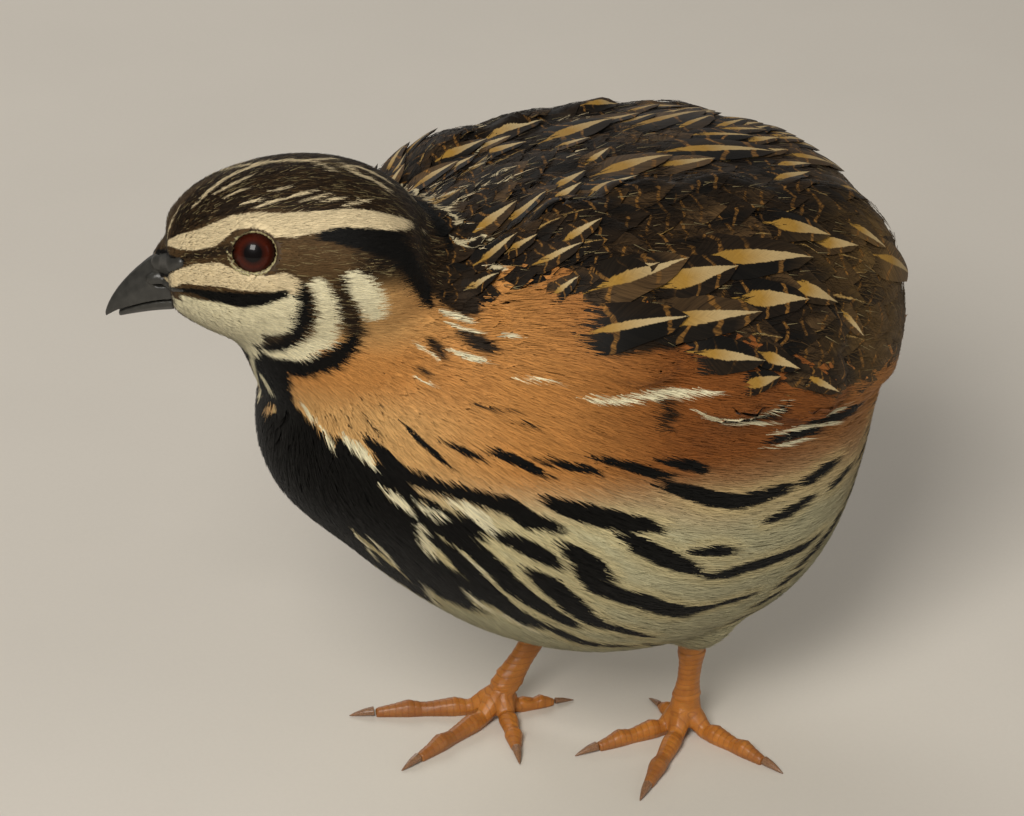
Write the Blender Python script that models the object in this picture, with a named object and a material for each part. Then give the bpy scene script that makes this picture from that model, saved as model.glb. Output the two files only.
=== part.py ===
"""A coturnix quail standing at rest, life size, as a still museum model.

Lengths here are millimetres and angles are degrees. The bird faces -X with its left side at -Y, and the
floor is z = 0. Finished meshes are scaled to metres and centred over the origin at the end.
"""

import math

import bmesh
import bpy
import numpy as np
from mathutils import Matrix, Vector
from mathutils.bvhtree import BVHTree

MM = 0.001
GAP = 0.3
UP = Vector((0, 0, 1))
SIDES = (("left", -1), ("right", 1))

# Torso: oval sections along the body, deepest behind the middle
TORSO_CENTRE = Vector((0, 0, 62.5))
TORSO_LENGTH, TORSO_WIDTH, TORSO_HEIGHT = 112, 79, 83
TORSO_STATIONS = (
    # along, half width, height where it is widest, height of the back, height of the belly
    (-56.5, 4, 67, 70.5, 63),
    (-54.5, 9.5, 66, 75.5, 57.5),
    (-50, 16.5, 65, 82.5, 52),
    (-44, 22, 65, 90, 46),
    (-35, 29, 64, 96.5, 36.6),
    (-23, 35.6, 63, 100.4, 26.4),
    (-9, 39.3, 61, 102, 19),
    (6, 39.6, 61, 101.6, 15.4),
    (20, 37.8, 63, 100.2, 14.2),
    (31, 34, 67, 98, 16.2),
    (40, 27.2, 72.5, 95, 23.5),
    (46.8, 19.4, 75.5, 89.8, 35),
    (51.3, 13, 76, 84.4, 48.5),
    (53.6, 8.4, 74.5, 79.8, 56.5),
    (54.6, 4.2, 72, 76, 62.5),
)

# Head: its frame is turned towards the bird's right, as the bird looks there
HEAD_CENTRE = Vector((-54.5, 2.5, 98.5))
HEAD_TURN, HEAD_NOD = 35, 4
HEAD_STATIONS = (
    # forward, half width, height above the centre, depth below it
    (18.4, 4.2, 3.0, 6.6),
    (15.8, 6.8, 7.0, 8.4),
    (11.4, 8.9, 11.4, 11.4),
    (4.0, 11.0, 14.2, 14.8),
    (-4.0, 12.6, 14.9, 16.6),
    (-11.5, 13.0, 13.4, 17.0),
    (-17.5, 11.8, 10.0, 15.0),
    (-22.0, 8.5, 4.5, 11.0),
)
NECK_STATIONS = (
    # centre, half width, half depth
    ((-52, 2.2, 95), 11.5, 13.3),
    ((-45, 1.2, 88.8), 15.6, 18.0),
    ((-36.5, 0.4, 81), 20.5, 22.3),
    ((-27, 0, 73), 26.5, 26.0),
)
RING_SEGMENTS, TORSO_SEGMENTS = 32, 48
SKIN_VOXEL, SKIN_SMOOTHING = 1.3, 9
SKIN_TRIANGLES = 4000
HEAD_WEIGHT, HEAD_BIAS = 0.3, 0.11

# Planes that part the head from the neck, and the neck from the torso: point and direction towards the head
HEAD_CUT = (Vector((-47.5, 1.5, 86.5)), Vector((-0.62, 0.16, 0.77)))
NECK_CUT = (Vector((-39.0, 0.5, 77.5)), Vector((-0.66, 0.08, 0.75)))

# Eye and lids, in the head's frame: forward, to the side, up
EYE_PLACE, EYE_RADIUS = (2.4, 6.6, 3.4), 4.6
LID_RADIUS, LID_REACH, LID_DEPTH = 3.7, 3.75, 3.6

# Bill: stations from its base, in the head's frame
BILL_BASE = 15.9
UPPER_BILL = (
    # forward, ridge height, cutting edge height, half width
    (15.2, 1.5, -5.3, 3.6),
    (18.2, 1.0, -5.5, 3.15),
    (20.4, -0.4, -6.0, 2.6),
    (22.6, -2.2, -6.7, 2.0),
    (24.7, -4.4, -7.5, 1.35),
    (26.2, -6.6, -8.4, 0.8),
    (26.9, -8.2, -9.0, 0.35),
)
LOWER_BILL = (
    # forward, upper edge height, keel height, half width
    (15.2, -5.6, -8.2, 3.3),
    (18.4, -5.8, -8.3, 2.75),
    (20.8, -6.35, -8.5, 2.15),
    (23.2, -7.2, -8.8, 1.45),
    (24.8, -7.95, -9.1, 0.8),
)
BILL_SEGMENTS = 14
NOSTRIL_PLACE, NOSTRIL_HALF = (17.7, 2.5, -2.2), (2.2, 0.9, 1.25)
SLIT_HALF = (1.35, 1.3, 0.33)

# Wings: sites are rays from the torso's centre at an angle along the body and one above the horizontal
WING_FRONT, WING_REAR = -32, 54
WING_RISE, WING_FALL, WING_SPREAD = 51, 24, 31
WING_THICKNESS, WING_EDGE = 1.7, 0.7
WING_CLEAR = 0.55
WING_ROWS, WING_COLUMNS = 10, 6
VANE_THICKNESS = 0.6
WING_TIERS = (
    # name, root along, lowest and highest share of the spread, count, length, half width, lift of the tip
    ("primaries", 26, -0.76, -0.3, 3, 27, 3.8, 0.4),
    ("tertials", 17, -0.02, 0.66, 4, 29, 5.0, 0.55),
    ("greater", 2, -0.75, 0.64, 5, 20, 6.1, 0.75),
    ("median", -11, -0.73, 0.66, 5, 17, 5.9, 1.0),
    ("lesser", -24, -0.56, 0.68, 5, 15, 4.4, 1.35),
)
VANE_STATIONS = 5
ROOT_SINK = 0.45

# Tail: vanes that hang behind the rump
TAIL_ROOT, TAIL_TIP = Vector((53.9, 0, 75)), Vector((55.9, 0, 44.5))
TAIL_BLOCK_HALF = (4.6, 10.5, 7.0)
RECTRICES, RECTRIX_HALF, TAIL_SPREAD = 7, 4.3, 21
TAIL_COVERTS, COVERT_HALF, COVERT_SHARE = 5, 4.2, 0.64
TAIL_LAYER = 0.95

# Legs: where each foot's toes meet on the floor, and where its shank enters the belly. The body is
# made BODY_LIFT lower than it stands, and is raised at the end.
BODY_LIFT = 1.8
FEET = {
    "left": (Vector((14.0, -11.6, 4.6)), Vector((13.9, -13.9, 18.6))),
    "right": (Vector((-8.0, 9.8, 4.6)), Vector((1.2, 7.7, 18.6))),
}
SHANK_HALF_DEPTH, SHANK_HALF_WIDTH = 1.95, 1.6
SHANK_SEGMENTS = 12
THIGH_RADII = (3.1, 6.2, 8.4)
THIGH_LENGTHS = (-2.5, 1.5, 7.5)
TOES = {
    # heading and length of the inner, middle, outer and hind toe, claws left out
    "left": ((168, 16.0), (-144, 20.0), (-75, 17.0), (86, 7.4)),
    "right": ((-110, 12.5), (-166, 20.5), (145, 21.0), (-17, 9.0)),
}
TOE_NAMES = ("inner", "middle", "outer", "hind")
TOE_BASE_RADIUS, TOE_TIP_RADIUS, TOE_PAD_SWELL = 1.6, 1.15, 0.16
TOE_JOINTS, TOE_STATIONS, TOE_SEGMENTS = 3, 9, 8
TOE_FLAT = 0.3
FOOT_VOXEL, FOOT_TRIANGLES = 0.3, 600
CLAW_LENGTH, CLAW_RADIUS, CLAW_DROP, CLAW_CLEAR = 4.2, 0.85, 0.8, 0.08

COLOURS = {
    "plumage_head": ((0.62, 0.5, 0.33), 0.85),
    "plumage_neck": ((0.45, 0.26, 0.14), 0.85),
    "plumage_body": ((0.55, 0.33, 0.18), 0.85),
    "plumage_wing": ((0.16, 0.1, 0.05), 0.8),
    "plumage_tail": ((0.13, 0.09, 0.05), 0.8),
    "horn_bill": ((0.035, 0.036, 0.04), 0.35),
    "eye": ((0.09, 0.02, 0.01), 0.05),
    "leg_skin": ((0.72, 0.33, 0.1), 0.5),
    "claw_horn": ((0.5, 0.33, 0.26), 0.4),
}


def clear_scene():
    for obj in list(bpy.data.objects):
        bpy.data.objects.remove(obj, do_unlink=True)


def material(name):
    """The part's own plain material for one kind of surface."""
    made = bpy.data.materials.get(name)
    if made is None:
        made = bpy.data.materials.new(name)
        made.use_nodes = True
        colour, roughness = COLOURS[name]
        shader = made.node_tree.nodes["Principled BSDF"]
        shader.inputs["Base Color"].default_value = (*colour, 1)
        shader.inputs["Roughness"].default_value = roughness
        shader.inputs["Metallic"].default_value = 0
    return made


def object_from(name, bm, finish=None):
    """A mesh object from a bmesh, shaded smooth."""
    bmesh.ops.triangulate(bm, faces=[f for f in bm.faces if len(f.verts) > 4])
    mesh = bpy.data.meshes.new(name)
    bm.to_mesh(mesh)
    bm.free()
    mesh.shade_smooth()
    obj = bpy.data.objects.new(name, mesh)
    bpy.context.scene.collection.objects.link(obj)
    if finish:
        obj.data.materials.append(material(finish))
    return obj


def smooth_table(table, steps):
    """Rows of numbers, with further rows between them on a Catmull-Rom curve."""
    rows = [np.array(row, float) for row in table]
    rows = [2 * rows[0] - rows[1], *rows, 2 * rows[-1] - rows[-2]]
    made = []
    for a, b, c, d in zip(rows, rows[1:], rows[2:], rows[3:]):
        for step in range(steps):
            t = step / steps
            bend = (2 * a - 5 * b + 4 * c - d) * t**2
            twist = (3 * b - a - 3 * c + d) * t**3
            made.append((2 * b + (c - a) * t + bend + twist) / 2)
    made.append(rows[-2])
    return made


def loft(bm, rings):
    """Closes a row of rings of equal length into one solid with flat ends."""
    loops = [[bm.verts.new(point) for point in ring] for ring in rings]
    for first, second in zip(loops, loops[1:]):
        count = len(first)
        for i in range(count):
            j = (i + 1) % count
            bm.faces.new((first[i], first[j], second[j], second[i]))
    bm.faces.new(loops[0][::-1])
    bm.faces.new(loops[-1])
    bmesh.ops.recalc_face_normals(bm, faces=bm.faces)


def oval_ring(centre, side, upward, half_width, above, below, count=RING_SEGMENTS):
    """Points of an oval whose upper and lower halves differ."""
    ring = []
    for i in range(count):
        angle = 2 * math.pi * i / count
        height = math.sin(angle) * (above if math.sin(angle) > 0 else below)
        ring.append(centre + side * (half_width * math.cos(angle)) + upward * height)
    return ring


def superellipse(t, fullness):
    return max(0.0, 1 - abs(t) ** fullness) ** (1 / fullness)


def ellipsoid(name, centre, half, segments=32, rings=16, axes=None):
    bm = bmesh.new()
    bmesh.ops.create_uvsphere(bm, u_segments=segments, v_segments=rings, radius=1)
    turn = axes if axes is not None else Matrix.Identity(3)
    bmesh.ops.transform(
        bm, matrix=Matrix.Translation(centre) @ turn.to_4x4() @ Matrix.Diagonal((*half, 1)), verts=bm.verts
    )
    return object_from(name, bm)


def head_axes():
    """The head's forward, side and up directions as the columns of a matrix."""
    turn = Matrix.Rotation(math.radians(-HEAD_TURN), 3, "Z")
    nod = Matrix.Rotation(math.radians(-HEAD_NOD), 3, "Y")
    frame = turn @ nod
    forward = frame @ Vector((-1, 0, 0))
    upward = frame @ UP
    left = upward.cross(forward)
    return Matrix((forward, left, upward)).transposed()


HEAD = head_axes()


def in_head(forward, left, upward):
    return HEAD_CENTRE + HEAD @ Vector((forward, left, upward))


def torso_form():
    bm = bmesh.new()
    rings = []
    for along, width, middle, top, bottom in smooth_table(TORSO_STATIONS, 3):
        centre, side = Vector((along, 0, middle)), Vector((0, 1, 0))
        rings.append(oval_ring(centre, side, UP, width, top - middle, middle - bottom, TORSO_SEGMENTS))
    loft(bm, rings)
    return object_from("torso_form", bm)


def head_form():
    bm = bmesh.new()
    side, upward = HEAD.col[1], HEAD.col[2]
    rings = [
        oval_ring(in_head(forward, 0, 0), side, upward, width, above, below)
        for forward, width, above, below in smooth_table(HEAD_STATIONS, 3)
    ]
    loft(bm, rings)
    return object_from("head_form", bm)


def neck_form():
    bm = bmesh.new()
    rows = smooth_table([(*centre, width, depth) for centre, width, depth in NECK_STATIONS], 3)
    along = (Vector(NECK_STATIONS[-1][0]) - Vector(NECK_STATIONS[0][0])).normalized()
    side = along.cross(UP).normalized()
    across = side.cross(along)
    loft(bm, [oval_ring(Vector(row[:3]), side, across, row[3], row[4], row[4]) for row in rows])
    return object_from("neck_form", bm)


def applied(obj):
    """The object's mesh with its modifiers applied."""
    graph = bpy.context.evaluated_depsgraph_get()
    mesh = bpy.data.meshes.new_from_object(obj.evaluated_get(graph))
    obj.modifiers.clear()
    obj.data = mesh
    return obj


def boolean(obj, others, operation, solver="EXACT"):
    """Joins or cuts obj with a collection of closed meshes, then removes them."""
    group = bpy.data.collections.new("tools_" + obj.name)
    bpy.context.scene.collection.children.link(group)
    for other in others:
        group.objects.link(other)
    step = obj.modifiers.new("boolean", "BOOLEAN")
    step.operation = operation
    step.solver = solver
    step.operand_type = "COLLECTION"
    step.collection = group
    bpy.context.view_layer.update()
    applied(obj)
    for other in others:
        bpy.data.objects.remove(other, do_unlink=True)
    bpy.data.collections.remove(group)
    return obj


def keep_largest(obj):
    """Leaves only the closed surface with the largest volume."""
    bm = bmesh.new()
    bm.from_mesh(obj.data)
    unseen, shells = set(bm.verts), []
    while unseen:
        stack, shell = [unseen.pop()], set()
        while stack:
            vert = stack.pop()
            shell.add(vert)
            for edge in vert.link_edges:
                other = edge.other_vert(vert)
                if other in unseen:
                    unseen.discard(other)
                    stack.append(other)
        shells.append(shell)

    def extent(shell):
        points = np.array([v.co for v in shell])
        return float(np.prod(points.max(0) - points.min(0)))

    largest = max(shells, key=extent)
    bmesh.ops.delete(bm, geom=[v for v in bm.verts if v not in largest], context="VERTS")
    bm.to_mesh(obj.data)
    bm.free()
    return obj


def whole_skin():
    """Torso, neck and head blended into one smooth surface."""
    skin = torso_form()
    parts = [neck_form(), head_form()]
    boolean(skin, parts, "UNION")
    remesh = skin.modifiers.new("even", "REMESH")
    remesh.mode = "VOXEL"
    remesh.voxel_size = SKIN_VOXEL
    soften = skin.modifiers.new("soften", "SMOOTH")
    soften.factor = 0.5
    soften.iterations = SKIN_SMOOTHING
    applied(skin)
    return skin


def thinned(skin):
    """The skin with fewer triangles, more of them kept on the head."""
    group = skin.vertex_groups.new(name="plain")
    for vert in skin.data.vertices:
        from_head = (vert.co - HEAD_CENTRE).length
        weight = min(1.0, max(0.0, (from_head - 18) / 14))
        group.add([vert.index], HEAD_WEIGHT + (1 - HEAD_WEIGHT) * weight, "REPLACE")
    fewer = skin.modifiers.new("fewer", "DECIMATE")
    fewer.vertex_group = group.name
    fewer.vertex_group_factor = HEAD_BIAS
    fewer.ratio = SKIN_TRIANGLES / (2 * len(skin.data.polygons))
    applied(skin)
    skin.vertex_groups.clear()
    return skin


def tree_of(obj):
    bm = bmesh.new()
    bm.from_mesh(obj.data)
    tree = BVHTree.FromBMesh(bm)
    bm.free()
    return tree


def slice_between(skin, name, finish, planes):
    """A copy of the skin kept on the far side of each plane, with flat ends half a gap from it."""
    bm = bmesh.new()
    bm.from_mesh(skin.data)
    for point, direction, sign in planes:
        normal = direction.normalized() * sign
        cut = bmesh.ops.bisect_plane(
            bm,
            geom=[*bm.verts, *bm.edges, *bm.faces],
            plane_co=point + normal * GAP / 2,
            plane_no=normal,
            clear_inner=True,
            clear_outer=False,
        )
        edges = [e for e in cut["geom_cut"] if isinstance(e, bmesh.types.BMEdge)]
        bmesh.ops.holes_fill(bm, edges=edges, sides=0)
    bmesh.ops.triangulate(bm, faces=[f for f in bm.faces if len(f.verts) > 4])
    bmesh.ops.recalc_face_normals(bm, faces=bm.faces)
    return object_from(name, bm, finish)


def make_head(skin):
    """The head with its bill face, eye sockets and lid rims."""
    head = slice_between(
        skin,
        "head",
        "plumage_head",
        [(*HEAD_CUT, 1), (in_head(BILL_BASE + GAP / 2, 0, 0), -HEAD.col[0], 1)],
    )
    lids, sockets = [], []
    for name, sign in SIDES:
        eye = in_head(EYE_PLACE[0], -sign * EYE_PLACE[1], EYE_PLACE[2])
        out = -sign * HEAD.col[1]
        bm = bmesh.new()
        bmesh.ops.create_cone(
            bm, cap_ends=True, segments=24, radius1=LID_RADIUS + 1.2, radius2=LID_RADIUS, depth=LID_DEPTH
        )
        turn = UP.rotation_difference(out).to_matrix().to_4x4()
        bmesh.ops.transform(bm, matrix=Matrix.Translation(eye + out * (LID_REACH - LID_DEPTH / 2)) @ turn, verts=bm.verts)
        lids.append(object_from("lid_" + name, bm))
        sockets.append(ellipsoid("socket_" + name, eye, [EYE_RADIUS + GAP] * 3, 20, 12))
    boolean(head, lids, "UNION")
    boolean(head, sockets, "DIFFERENCE")
    return keep_largest(head)


def make_eyes():
    for name, sign in SIDES:
        eye = in_head(EYE_PLACE[0], -sign * EYE_PLACE[1], EYE_PLACE[2])
        ball = ellipsoid("eye_" + name, eye, [EYE_RADIUS] * 3, 16, 9)
        ball.data.materials.append(material("eye"))


def bill_ring(forward, top, bottom, half_width):
    middle, half = (top + bottom) / 2, (top - bottom) / 2
    return oval_ring(in_head(forward, 0, middle), HEAD.col[1], HEAD.col[2], half_width, half, half, BILL_SEGMENTS)


def flattened(ring, forward, level, below):
    """Presses a ring flat at the mouth line: nothing of it lies beyond that level."""
    upward = HEAD.col[2]
    base = in_head(forward, 0, level)
    pressed = []
    for point in ring:
        past = (point - base).dot(upward)
        pressed.append(point - upward * past if (past < 0) == below else point)
    return pressed


def make_bill():
    """The two halves of the bill, parted along the line of the mouth."""
    bm = bmesh.new()
    rings = []
    for forward, ridge, edge, width in smooth_table(UPPER_BILL, 2):
        drop = 2 * edge - ridge
        rings.append(flattened(bill_ring(forward, ridge, drop, width), forward, edge, True))
    loft(bm, rings)
    upper = object_from("bill_upper", bm, "horn_bill")
    covers, slits = [], []
    for name, sign in SIDES:
        place = in_head(NOSTRIL_PLACE[0], sign * NOSTRIL_PLACE[1], NOSTRIL_PLACE[2])
        covers.append(ellipsoid("cover_" + name, place, NOSTRIL_HALF, 12, 8, HEAD))
        slit = place + HEAD.col[1] * (sign * 0.75) - HEAD.col[2] * 0.85
        slits.append(ellipsoid("slit_" + name, slit, SLIT_HALF, 10, 6, HEAD))
    boolean(upper, covers, "UNION")
    boolean(upper, slits, "DIFFERENCE")
    trim_behind(upper)
    bm = bmesh.new()
    rings = []
    for forward, edge, keel, width in smooth_table(LOWER_BILL, 2):
        rise = 2 * edge - keel
        rings.append(flattened(bill_ring(forward, rise, keel, width), forward, edge - GAP / 2, False))
    loft(bm, rings)
    trim_behind(object_from("bill_lower", bm, "horn_bill"))


def trim_behind(obj):
    """Cuts the bill's root off, which leaves its flat base."""
    bm = bmesh.new()
    bm.from_mesh(obj.data)
    cut = bmesh.ops.bisect_plane(
        bm,
        geom=[*bm.verts, *bm.edges, *bm.faces],
        plane_co=in_head(BILL_BASE + GAP, 0, 0),
        plane_no=HEAD.col[0],
        clear_inner=True,
    )
    edges = [e for e in cut["geom_cut"] if isinstance(e, bmesh.types.BMEdge)]
    bmesh.ops.holes_fill(bm, edges=edges, sides=0)
    bmesh.ops.triangulate(bm, faces=[f for f in bm.faces if len(f.verts) > 4])
    bmesh.ops.recalc_face_normals(bm, faces=bm.faces)
    bm.to_mesh(obj.data)
    bm.free()
    keep_largest(obj)


def body_site(tree, along, around, side):
    """Point and outward normal on a surface, along a ray from the torso's centre."""
    a, b = math.radians(along), math.radians(around)
    ray = Vector(
        (
            math.sin(a) * TORSO_LENGTH / 2,
            side * math.cos(a) * math.cos(b) * TORSO_WIDTH / 2,
            math.cos(a) * math.sin(b) * TORSO_HEIGHT / 2,
        )
    )
    point, normal, _, _ = tree.ray_cast(TORSO_CENTRE, ray.normalized())
    if normal.dot(ray) < 0:
        normal = -normal
    return point, normal


def shell_between(name, tops, bottoms, finish):
    """A closed sheet from two grids of points, split into triangles alike on both faces."""
    bm = bmesh.new()
    rows, columns = len(tops), len(tops[0])
    upper = [[bm.verts.new(p) for p in row] for row in tops]
    lower = [[bm.verts.new(p) for p in row] for row in bottoms]
    for i in range(rows - 1):
        for j in range(columns - 1):
            for grid, step in ((upper, 1), (lower, -1)):
                a, b, c, d = grid[i][j], grid[i + 1][j], grid[i + 1][j + 1], grid[i][j + 1]
                for face in ((a, b, c), (a, c, d)):
                    bm.faces.new(face[::step])
    border = [(0, j) for j in range(columns)] + [(i, columns - 1) for i in range(1, rows)]
    border += [(rows - 1, j) for j in range(columns - 2, -1, -1)] + [(i, 0) for i in range(rows - 2, 0, -1)]
    for (i, j), (k, m) in zip(border, border[1:] + border[:1]):
        a, b, c, d = upper[i][j], upper[k][m], lower[k][m], lower[i][j]
        bm.faces.new((a, b, c))
        bm.faces.new((a, c, d))
    bmesh.ops.recalc_face_normals(bm, faces=bm.faces)
    return object_from(name, bm, finish)


def vane(name, stations, half_width):
    """A feather's vane. Each station has a shaft point, a direction across, an outward normal and a width share."""
    tops, bottoms = [], []
    for point, across, normal, share in stations:
        ridge = normal * (VANE_THICKNESS * 0.3)
        sag = normal * (half_width * share) ** 2 / 150
        top, bottom = [], []
        for t in (-1, 0, 1):
            spot = point + across * (t * half_width * share) - sag * abs(t)
            top.append(spot + normal * VANE_THICKNESS + (ridge if t == 0 else Vector()))
            bottom.append(spot)
        tops.append(top)
        bottoms.append(bottom)
    return shell_between(name, tops, bottoms, None)


def width_share(t, pointed):
    """How a vane's width runs from root to tip."""
    rise = min(1.0, 0.55 + 1.3 * t)
    fall = 1.0 if t < 0.6 else math.sqrt(max(0.0, 1 - ((t - 0.6) / 0.4) ** 2 * pointed))
    return rise * fall


def wing_around(along, share):
    """Angle above the horizontal at a share of the wing's spread, which narrows and sinks towards the rear."""
    run = (along - WING_FRONT) / (WING_REAR - WING_FRONT)
    spread = max(0.3, superellipse(2 * run - 1, 2.6))
    return WING_RISE - WING_FALL * run + WING_SPREAD * spread * share


def wing_bed(tree, bed, along, share, side):
    """A place on the wing's underside, its outward normal, and the plate's thickness there."""
    run = (along - WING_FRONT) / (WING_REAR - WING_FRONT)
    around = wing_around(along, share)
    point, normal = body_site(tree, along, around, side)
    under, _ = body_site(bed, along, around, side)
    low = max(0.0, (under - point).dot(normal)) + GAP + WING_CLEAR
    fullness = superellipse(share, 2.4) * superellipse(2 * run - 1, 2.4)
    return point + normal * low, normal, WING_EDGE + (WING_THICKNESS - WING_EDGE) * fullness


def wing_plate(tree, bed, side):
    """The folded wing's base: a thin leaf that lies on the body."""
    tops, bottoms = [], []
    for i in range(WING_ROWS + 1):
        along = WING_FRONT + (WING_REAR - WING_FRONT) * i / WING_ROWS
        sites = [wing_bed(tree, bed, along, 2 * j / WING_COLUMNS - 1, side) for j in range(WING_COLUMNS + 1)]
        tops.append([point + normal * thickness for point, normal, thickness in sites])
        bottoms.append([point for point, _, _ in sites])
    return shell_between("plate", tops, bottoms, "plumage_wing")


def wing_vane(name, tree, bed, side, along, share, length, half_width, lift):
    """One wing feather: its root is sunk in the plate, and its tip lies over the next tier."""
    reach = math.degrees(length / (TORSO_LENGTH / 2))
    stations = []
    for k in range(VANE_STATIONS):
        t = k / (VANE_STATIONS - 1)
        angle = min(along + reach * t, WING_REAR + 6)
        inside = min(angle, WING_REAR - 6)
        _, _, thickness = wing_bed(tree, bed, inside, share, side)
        point, normal = body_site(tree, angle, wing_around(inside, share), side)
        ahead, _ = body_site(tree, angle + 2, wing_around(inside, share), side)
        across = normal.cross(ahead - point).normalized()
        rise = min(1.0, t / 0.55)
        height = GAP + WING_CLEAR + thickness - ROOT_SINK + (ROOT_SINK + lift) * rise * (2 - rise)
        stations.append((point + normal * height, across, normal, width_share(t, 0.93)))
    return vane(name, stations, half_width)


def make_wing(tree, bed, name, side):
    plate = wing_plate(tree, bed, side)
    plate.name = "wing_" + name
    feathers = []
    for tier, along, low, high, count, length, half_width, lift in WING_TIERS:
        for k in range(count):
            share = low + (high - low) * k / (count - 1)
            stagger = 2.2 * (k % 2) + 5 * share * share
            size = 1 - 0.12 * abs(share)
            feathers.append(
                wing_vane(
                    f"{tier}_{k}", tree, bed, side, along + stagger, share, length * size, half_width, lift + 0.13 * (k % 2)
                )
            )
    boolean(plate, feathers, "UNION")
    return keep_largest(plate)


def grown_copy(obj, distance):
    """A copy of a closed mesh with its surface moved outwards."""
    copy = bpy.data.objects.new("grown", obj.data.copy())
    bpy.context.scene.collection.objects.link(copy)
    normals = [v.normal.copy() for v in copy.data.vertices]
    for vert, normal in zip(copy.data.vertices, normals):
        vert.co += normal * distance
    return copy


def tail_vane(name, turn, layer, share, half_width):
    """One tail feather, fanned about the tail's root."""
    along = TAIL_TIP - TAIL_ROOT
    length = along.length * share
    out = Vector((-along.z, 0, along.x)).normalized()
    side = Vector((0, 1, 0))
    swing = Matrix.Rotation(math.radians(turn), 3, out)
    direction = swing @ along.normalized()
    across = swing @ side
    stations = []
    for k in range(VANE_STATIONS):
        t = k / (VANE_STATIONS - 1)
        bow = math.sin(math.pi * t) * 1.2
        droop = abs(turn) / 20 * 1.5 * t
        spot = TAIL_ROOT + direction * (length * t) + out * (layer + bow - droop)
        stations.append((spot, across, out, width_share(t, 0.9)))
    return vane(name, stations, half_width)


def make_tail(torso):
    """A fan of tail feathers under shorter coverts, on a block that meets the rump."""
    block = ellipsoid("tail", TAIL_ROOT - Vector((2.0, 0, 2.0)), TAIL_BLOCK_HALF, 20, 12)
    block.data.materials.append(material("plumage_tail"))
    feathers = []
    for k in range(RECTRICES):
        t = 2 * k / (RECTRICES - 1) - 1
        layer = -0.2 - TAIL_LAYER * abs(t) * 1.6 + 0.12 * (k % 2)
        feathers.append(tail_vane(f"rectrix_{k}", TAIL_SPREAD * t, layer, 1 - 0.1 * t * t, RECTRIX_HALF))
    for k in range(TAIL_COVERTS):
        t = 2 * k / (TAIL_COVERTS - 1) - 1
        layer = 1.7 - 1.1 * abs(t) + 0.12 * (k % 2)
        feathers.append(
            tail_vane(f"covert_{k}", (TAIL_SPREAD + 3) * t, layer, COVERT_SHARE * (1 - 0.12 * t * t), COVERT_HALF)
        )
    boolean(block, feathers, "UNION")
    boolean(block, [grown_copy(torso, GAP + 0.1)], "DIFFERENCE")
    return keep_largest(block)


def tube(bm, centres, radii, count, squash=1.0):
    """A tube through the centres, with flat ends."""
    rings = []
    for k, (centre, radius) in enumerate(zip(centres, radii)):
        ahead = centres[min(k + 1, len(centres) - 1)] - centres[max(k - 1, 0)]
        ahead.normalize()
        side = ahead.cross(UP)
        if side.length < 0.3:
            side = ahead.cross(Vector((1, 0, 0)))
        side.normalize()
        rings.append(oval_ring(centre, side, side.cross(ahead), radius, radius * squash, radius * squash, count))
    loft(bm, rings)


def thigh_solid(name, side_name, spare):
    """The feathered upper leg: a short cone about the shank's line."""
    low, high = FEET[side_name]
    axis = (high - low).normalized()
    bm = bmesh.new()
    centres = [high + axis * reach - UP * BODY_LIFT for reach in THIGH_LENGTHS]
    if spare:
        centres[0] = centres[0] - axis * GAP
        centres[-1] = centres[-1] + axis * GAP
    tube(bm, centres, [radius + spare for radius in THIGH_RADII], 20)
    return object_from(name, bm, "plumage_body")


def make_legs(torso):
    """Thighs set in the belly, shanks, and feet with flats under their toes."""
    boolean(torso, [thigh_solid("clear_" + name, name, GAP) for name, _ in SIDES], "DIFFERENCE")
    keep_largest(torso)
    for name, _ in SIDES:
        thigh_solid("thigh_" + name, name, 0)
        make_shank(name)
        make_foot(name)


def make_shank(name):
    low, high = FEET[name]
    axis = (high - low).normalized()
    top = high + axis * (THIGH_LENGTHS[0] - GAP)
    bottom = low + axis * (1.9 + GAP)
    shares = (0, 0.12, 0.35, 0.7, 0.92, 1)
    swell = (1.28, 1.08, 0.94, 0.98, 1.14, 1.18)
    bm = bmesh.new()
    centres = [bottom + (top - bottom) * share for share in shares]
    tube(bm, centres, [SHANK_HALF_WIDTH * s for s in swell], SHANK_SEGMENTS, SHANK_HALF_DEPTH / SHANK_HALF_WIDTH)
    object_from("shank_" + name, bm, "leg_skin")


def toe_line(name, index):
    """Centres and radii along one toe, swollen at its pads."""
    junction, _ = FEET[name]
    heading, length = TOES[name][index]
    direction = Vector((math.cos(math.radians(heading)), math.sin(math.radians(heading)), 0))
    side = Vector((-direction.y, direction.x, 0))
    bend = (0.9, 0.0, -0.9, 0.0)[index] * (1 if name == "left" else -1)
    thin = 0.84 if index == 3 else 1.0
    centres, radii = [], []
    for k in range(TOE_STATIONS):
        t = k / (TOE_STATIONS - 1)
        radius = TOE_BASE_RADIUS + (TOE_TIP_RADIUS - TOE_BASE_RADIUS) * t
        radius *= thin * (1 + TOE_PAD_SWELL * math.cos(2 * math.pi * TOE_JOINTS * (t - 0.08)))
        if k == TOE_STATIONS - 1:
            radius *= 0.72
        rest = radius - TOE_FLAT
        settle = min(1.0, t / 0.3)
        height = junction.z * (1 - settle) ** 1.6 * 0.72 + rest
        centres.append(
            Vector((junction.x, junction.y, 0)) + direction * (length * t) + side * (bend * t * t) + UP * height
        )
        radii.append(radius)
    return centres, radii


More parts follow.
